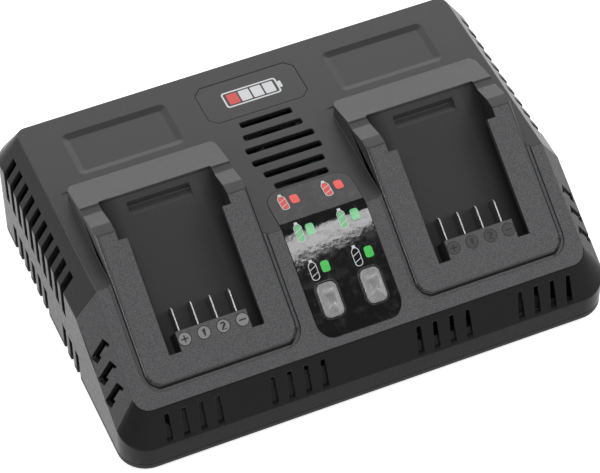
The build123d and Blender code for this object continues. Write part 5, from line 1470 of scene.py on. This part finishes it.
def show(nodes, name, plain, seen):
    """Ends a tree in what camera, glossy and glass rays meet as seen, and others as plain."""
    path = nodes.add("ShaderNodeLightPath").node.outputs
    ray = path["Is Camera Ray"]
    for kind in ("Is Glossy Ray", "Is Transmission Ray"):
        ray = nodes.add("ShaderNodeMath", {"operation": "MAXIMUM"}, i0=ray, i1=path[kind])
    shown = nodes.add("ShaderNodeMixShader", Fac=ray, i1=plain, i2=seen)
    nodes.link(shown, nodes.tree.nodes[name].inputs["Surface"])


def area_light(name, place, aim, size, power):
    """Rectangular soft light at a place, turned towards a point."""
    lamp = bpy.data.lights.new(name, "AREA")
    lamp.shape = "RECTANGLE"
    lamp.size, lamp.size_y = size
    lamp.energy = power
    obj = linked(name, lamp)
    obj.location = place
    obj.rotation_mode = "QUATERNION"
    obj.rotation_quaternion = (Vector(aim) - Vector(place)).to_track_quat("-Z", "Y")
    return obj


class CHARGER_OT_stage(bpy.types.Operator):
    """Pale floor and surroundings, soft lights and the camera"""

    bl_idname = "charger.stage"
    bl_label = "Stage"

    def execute(self, context):
        settings = context.scene.charger_stage
        floor = Finish("floor paint", settings.floor_colour, 0.9)
        floor.tint((400.0, 2.0), shade(settings.floor_colour, 1.02), 0.5).bump((3.0, 2.0), 0.02)
        matt = floor.shader.outputs["BSDF"]
        glow = floor.add("ShaderNodeEmission", Strength=FLOOR_GLOW)
        lit = floor.add("ShaderNodeAddShader", i0=matt, i1=glow)
        show(floor, "Material Output", matt, lit)
        bm = bmesh.new()
        bmesh.ops.create_grid(bm, x_segments=8, y_segments=8, size=FLOOR_HALF)
        bmesh.ops.translate(bm, verts=bm.verts, vec=(0, 0, -FLOOR_SINK))
        ground = linked("floor", together([bm], "floor"))
        ground.data.materials.append(floor.material)

        world = bpy.data.worlds.new("surroundings")
        context.scene.world = world
        world.use_nodes = True
        sky = Nodes(world.node_tree)
        dim = sky.tree.nodes["Background"]
        dim.inputs["Color"].default_value = (1.0, 1.0, 1.0, 1.0)
        dim.inputs["Strength"].default_value = settings.surround
        way = sky.add("ShaderNodeTexCoord", out="Generated")
        height = sky.add("ShaderNodeSeparateXYZ", out="Z", Vector=way)
        fade = sky.add(
            "ShaderNodeMapRange", Value=height, From_Min=BACKDROP_TOP,
            From_Max=CEILING_FOOT, To_Min=1.0, To_Max=settings.surround,
        )
        pale = sky.add("ShaderNodeBackground", Strength=fade)
        show(sky, "World Output", dim.outputs["Background"], pale)

        # The indicator sheet mirrors what lies ahead to the camera: dark but for a tilted strip.
        panel = Vector((0.0, PANEL_Y, SLOPE_Z + PANEL_Y * RISE)) * MM
        ahead = Vector(MIRROR_WAY).normalized()
        across = Vector((ahead.z, 0.0, -ahead.x)).normalized()
        rear = across.cross(ahead) * -1
        for name, offset in KEY_LIGHTS:
            place = panel + ahead * KEY_AHEAD + across * offset + rear * KEY_REAR
            area_light(name, place, panel, KEY_SIZE, settings.key_power / 2)
        place = panel + ahead + across * STRIP_ACROSS + rear * STRIP_REAR
        strip = area_light("strip light", place, panel, STRIP_SIZE, settings.strip_power)
        tilted = across * math.cos(STRIP_TILT) + rear * math.sin(STRIP_TILT)
        out = (strip.location - panel).normalized()
        upright = out.cross(tilted).normalized()
        turn = Matrix((upright.cross(out), upright, out)).transposed()
        strip.rotation_quaternion = turn.to_quaternion()
        for name, place, size in SOFT_LIGHTS:
            power = getattr(settings, f"{name}_power")
            area_light(f"{name} light", place, SOFT_AIM, size, power)

        data = bpy.data.cameras.new("camera")
        data.lens = CAMERA_LENS
        data.sensor_width = 36.0
        data.sensor_fit = "HORIZONTAL"
        data.clip_start, data.clip_end = 0.05, 20.0
        camera = linked("camera", data)
        turn = Matrix(camera_axes()).transposed().to_4x4()
        camera.matrix_world = Matrix.Translation(CAMERA_PLACE) @ turn
        context.scene.camera = camera
        context.scene.view_settings.view_transform = "Standard"
        return {"FINISHED"}


class CHARGER_PT_builder(bpy.types.Panel):
    """Sidebar list of what builds the charger"""

    bl_idname = "CHARGER_PT_builder"
    bl_label = "Charger"
    bl_space_type = "VIEW_3D"
    bl_region_type = "UI"
    bl_category = "Charger"

    def draw(self, context):
        for group in (context.scene.charger_looks, context.scene.charger_stage):
            for setting in group.bl_rna.properties:
                if setting.identifier not in ("rna_type", "name"):
                    self.layout.prop(group, setting.identifier)
        for operator in OPERATORS:
            self.layout.operator(operator.bl_idname)


OPERATORS = (
    CHARGER_OT_housing,
    CHARGER_OT_badge,
    CHARGER_OT_panel,
    CHARGER_OT_buttons,
    CHARGER_OT_contacts,
    CHARGER_OT_boards,
    CHARGER_OT_power,
    CHARGER_OT_windings,
    CHARGER_OT_screws,
    CHARGER_OT_fan,
    CHARGER_OT_controls,
    CHARGER_OT_fittings,
    CHARGER_OT_stage,
)
CLASSES = (ChargerLooks, ChargerStage, *OPERATORS, CHARGER_PT_builder)


def register():
    for cls in CLASSES:
        bpy.utils.register_class(cls)
    bpy.types.Scene.charger_looks = PointerProperty(type=ChargerLooks)
    bpy.types.Scene.charger_stage = PointerProperty(type=ChargerStage)


def unregister():
    del bpy.types.Scene.charger_stage
    del bpy.types.Scene.charger_looks
    for cls in reversed(CLASSES):
        bpy.utils.unregister_class(cls)


def main():
    register()
    bpy.ops.charger.housing()
    bpy.ops.charger.badge()
    bpy.ops.charger.panel()
    bpy.ops.charger.buttons()
    bpy.ops.charger.contacts()
    bpy.ops.charger.boards()
    bpy.ops.charger.power()
    bpy.ops.charger.windings()
    bpy.ops.charger.screws()
    bpy.ops.charger.fan()
    bpy.ops.charger.controls()
    bpy.ops.charger.fittings()
    bpy.ops.charger.stage()


if __name__ == "__main__":
    main()
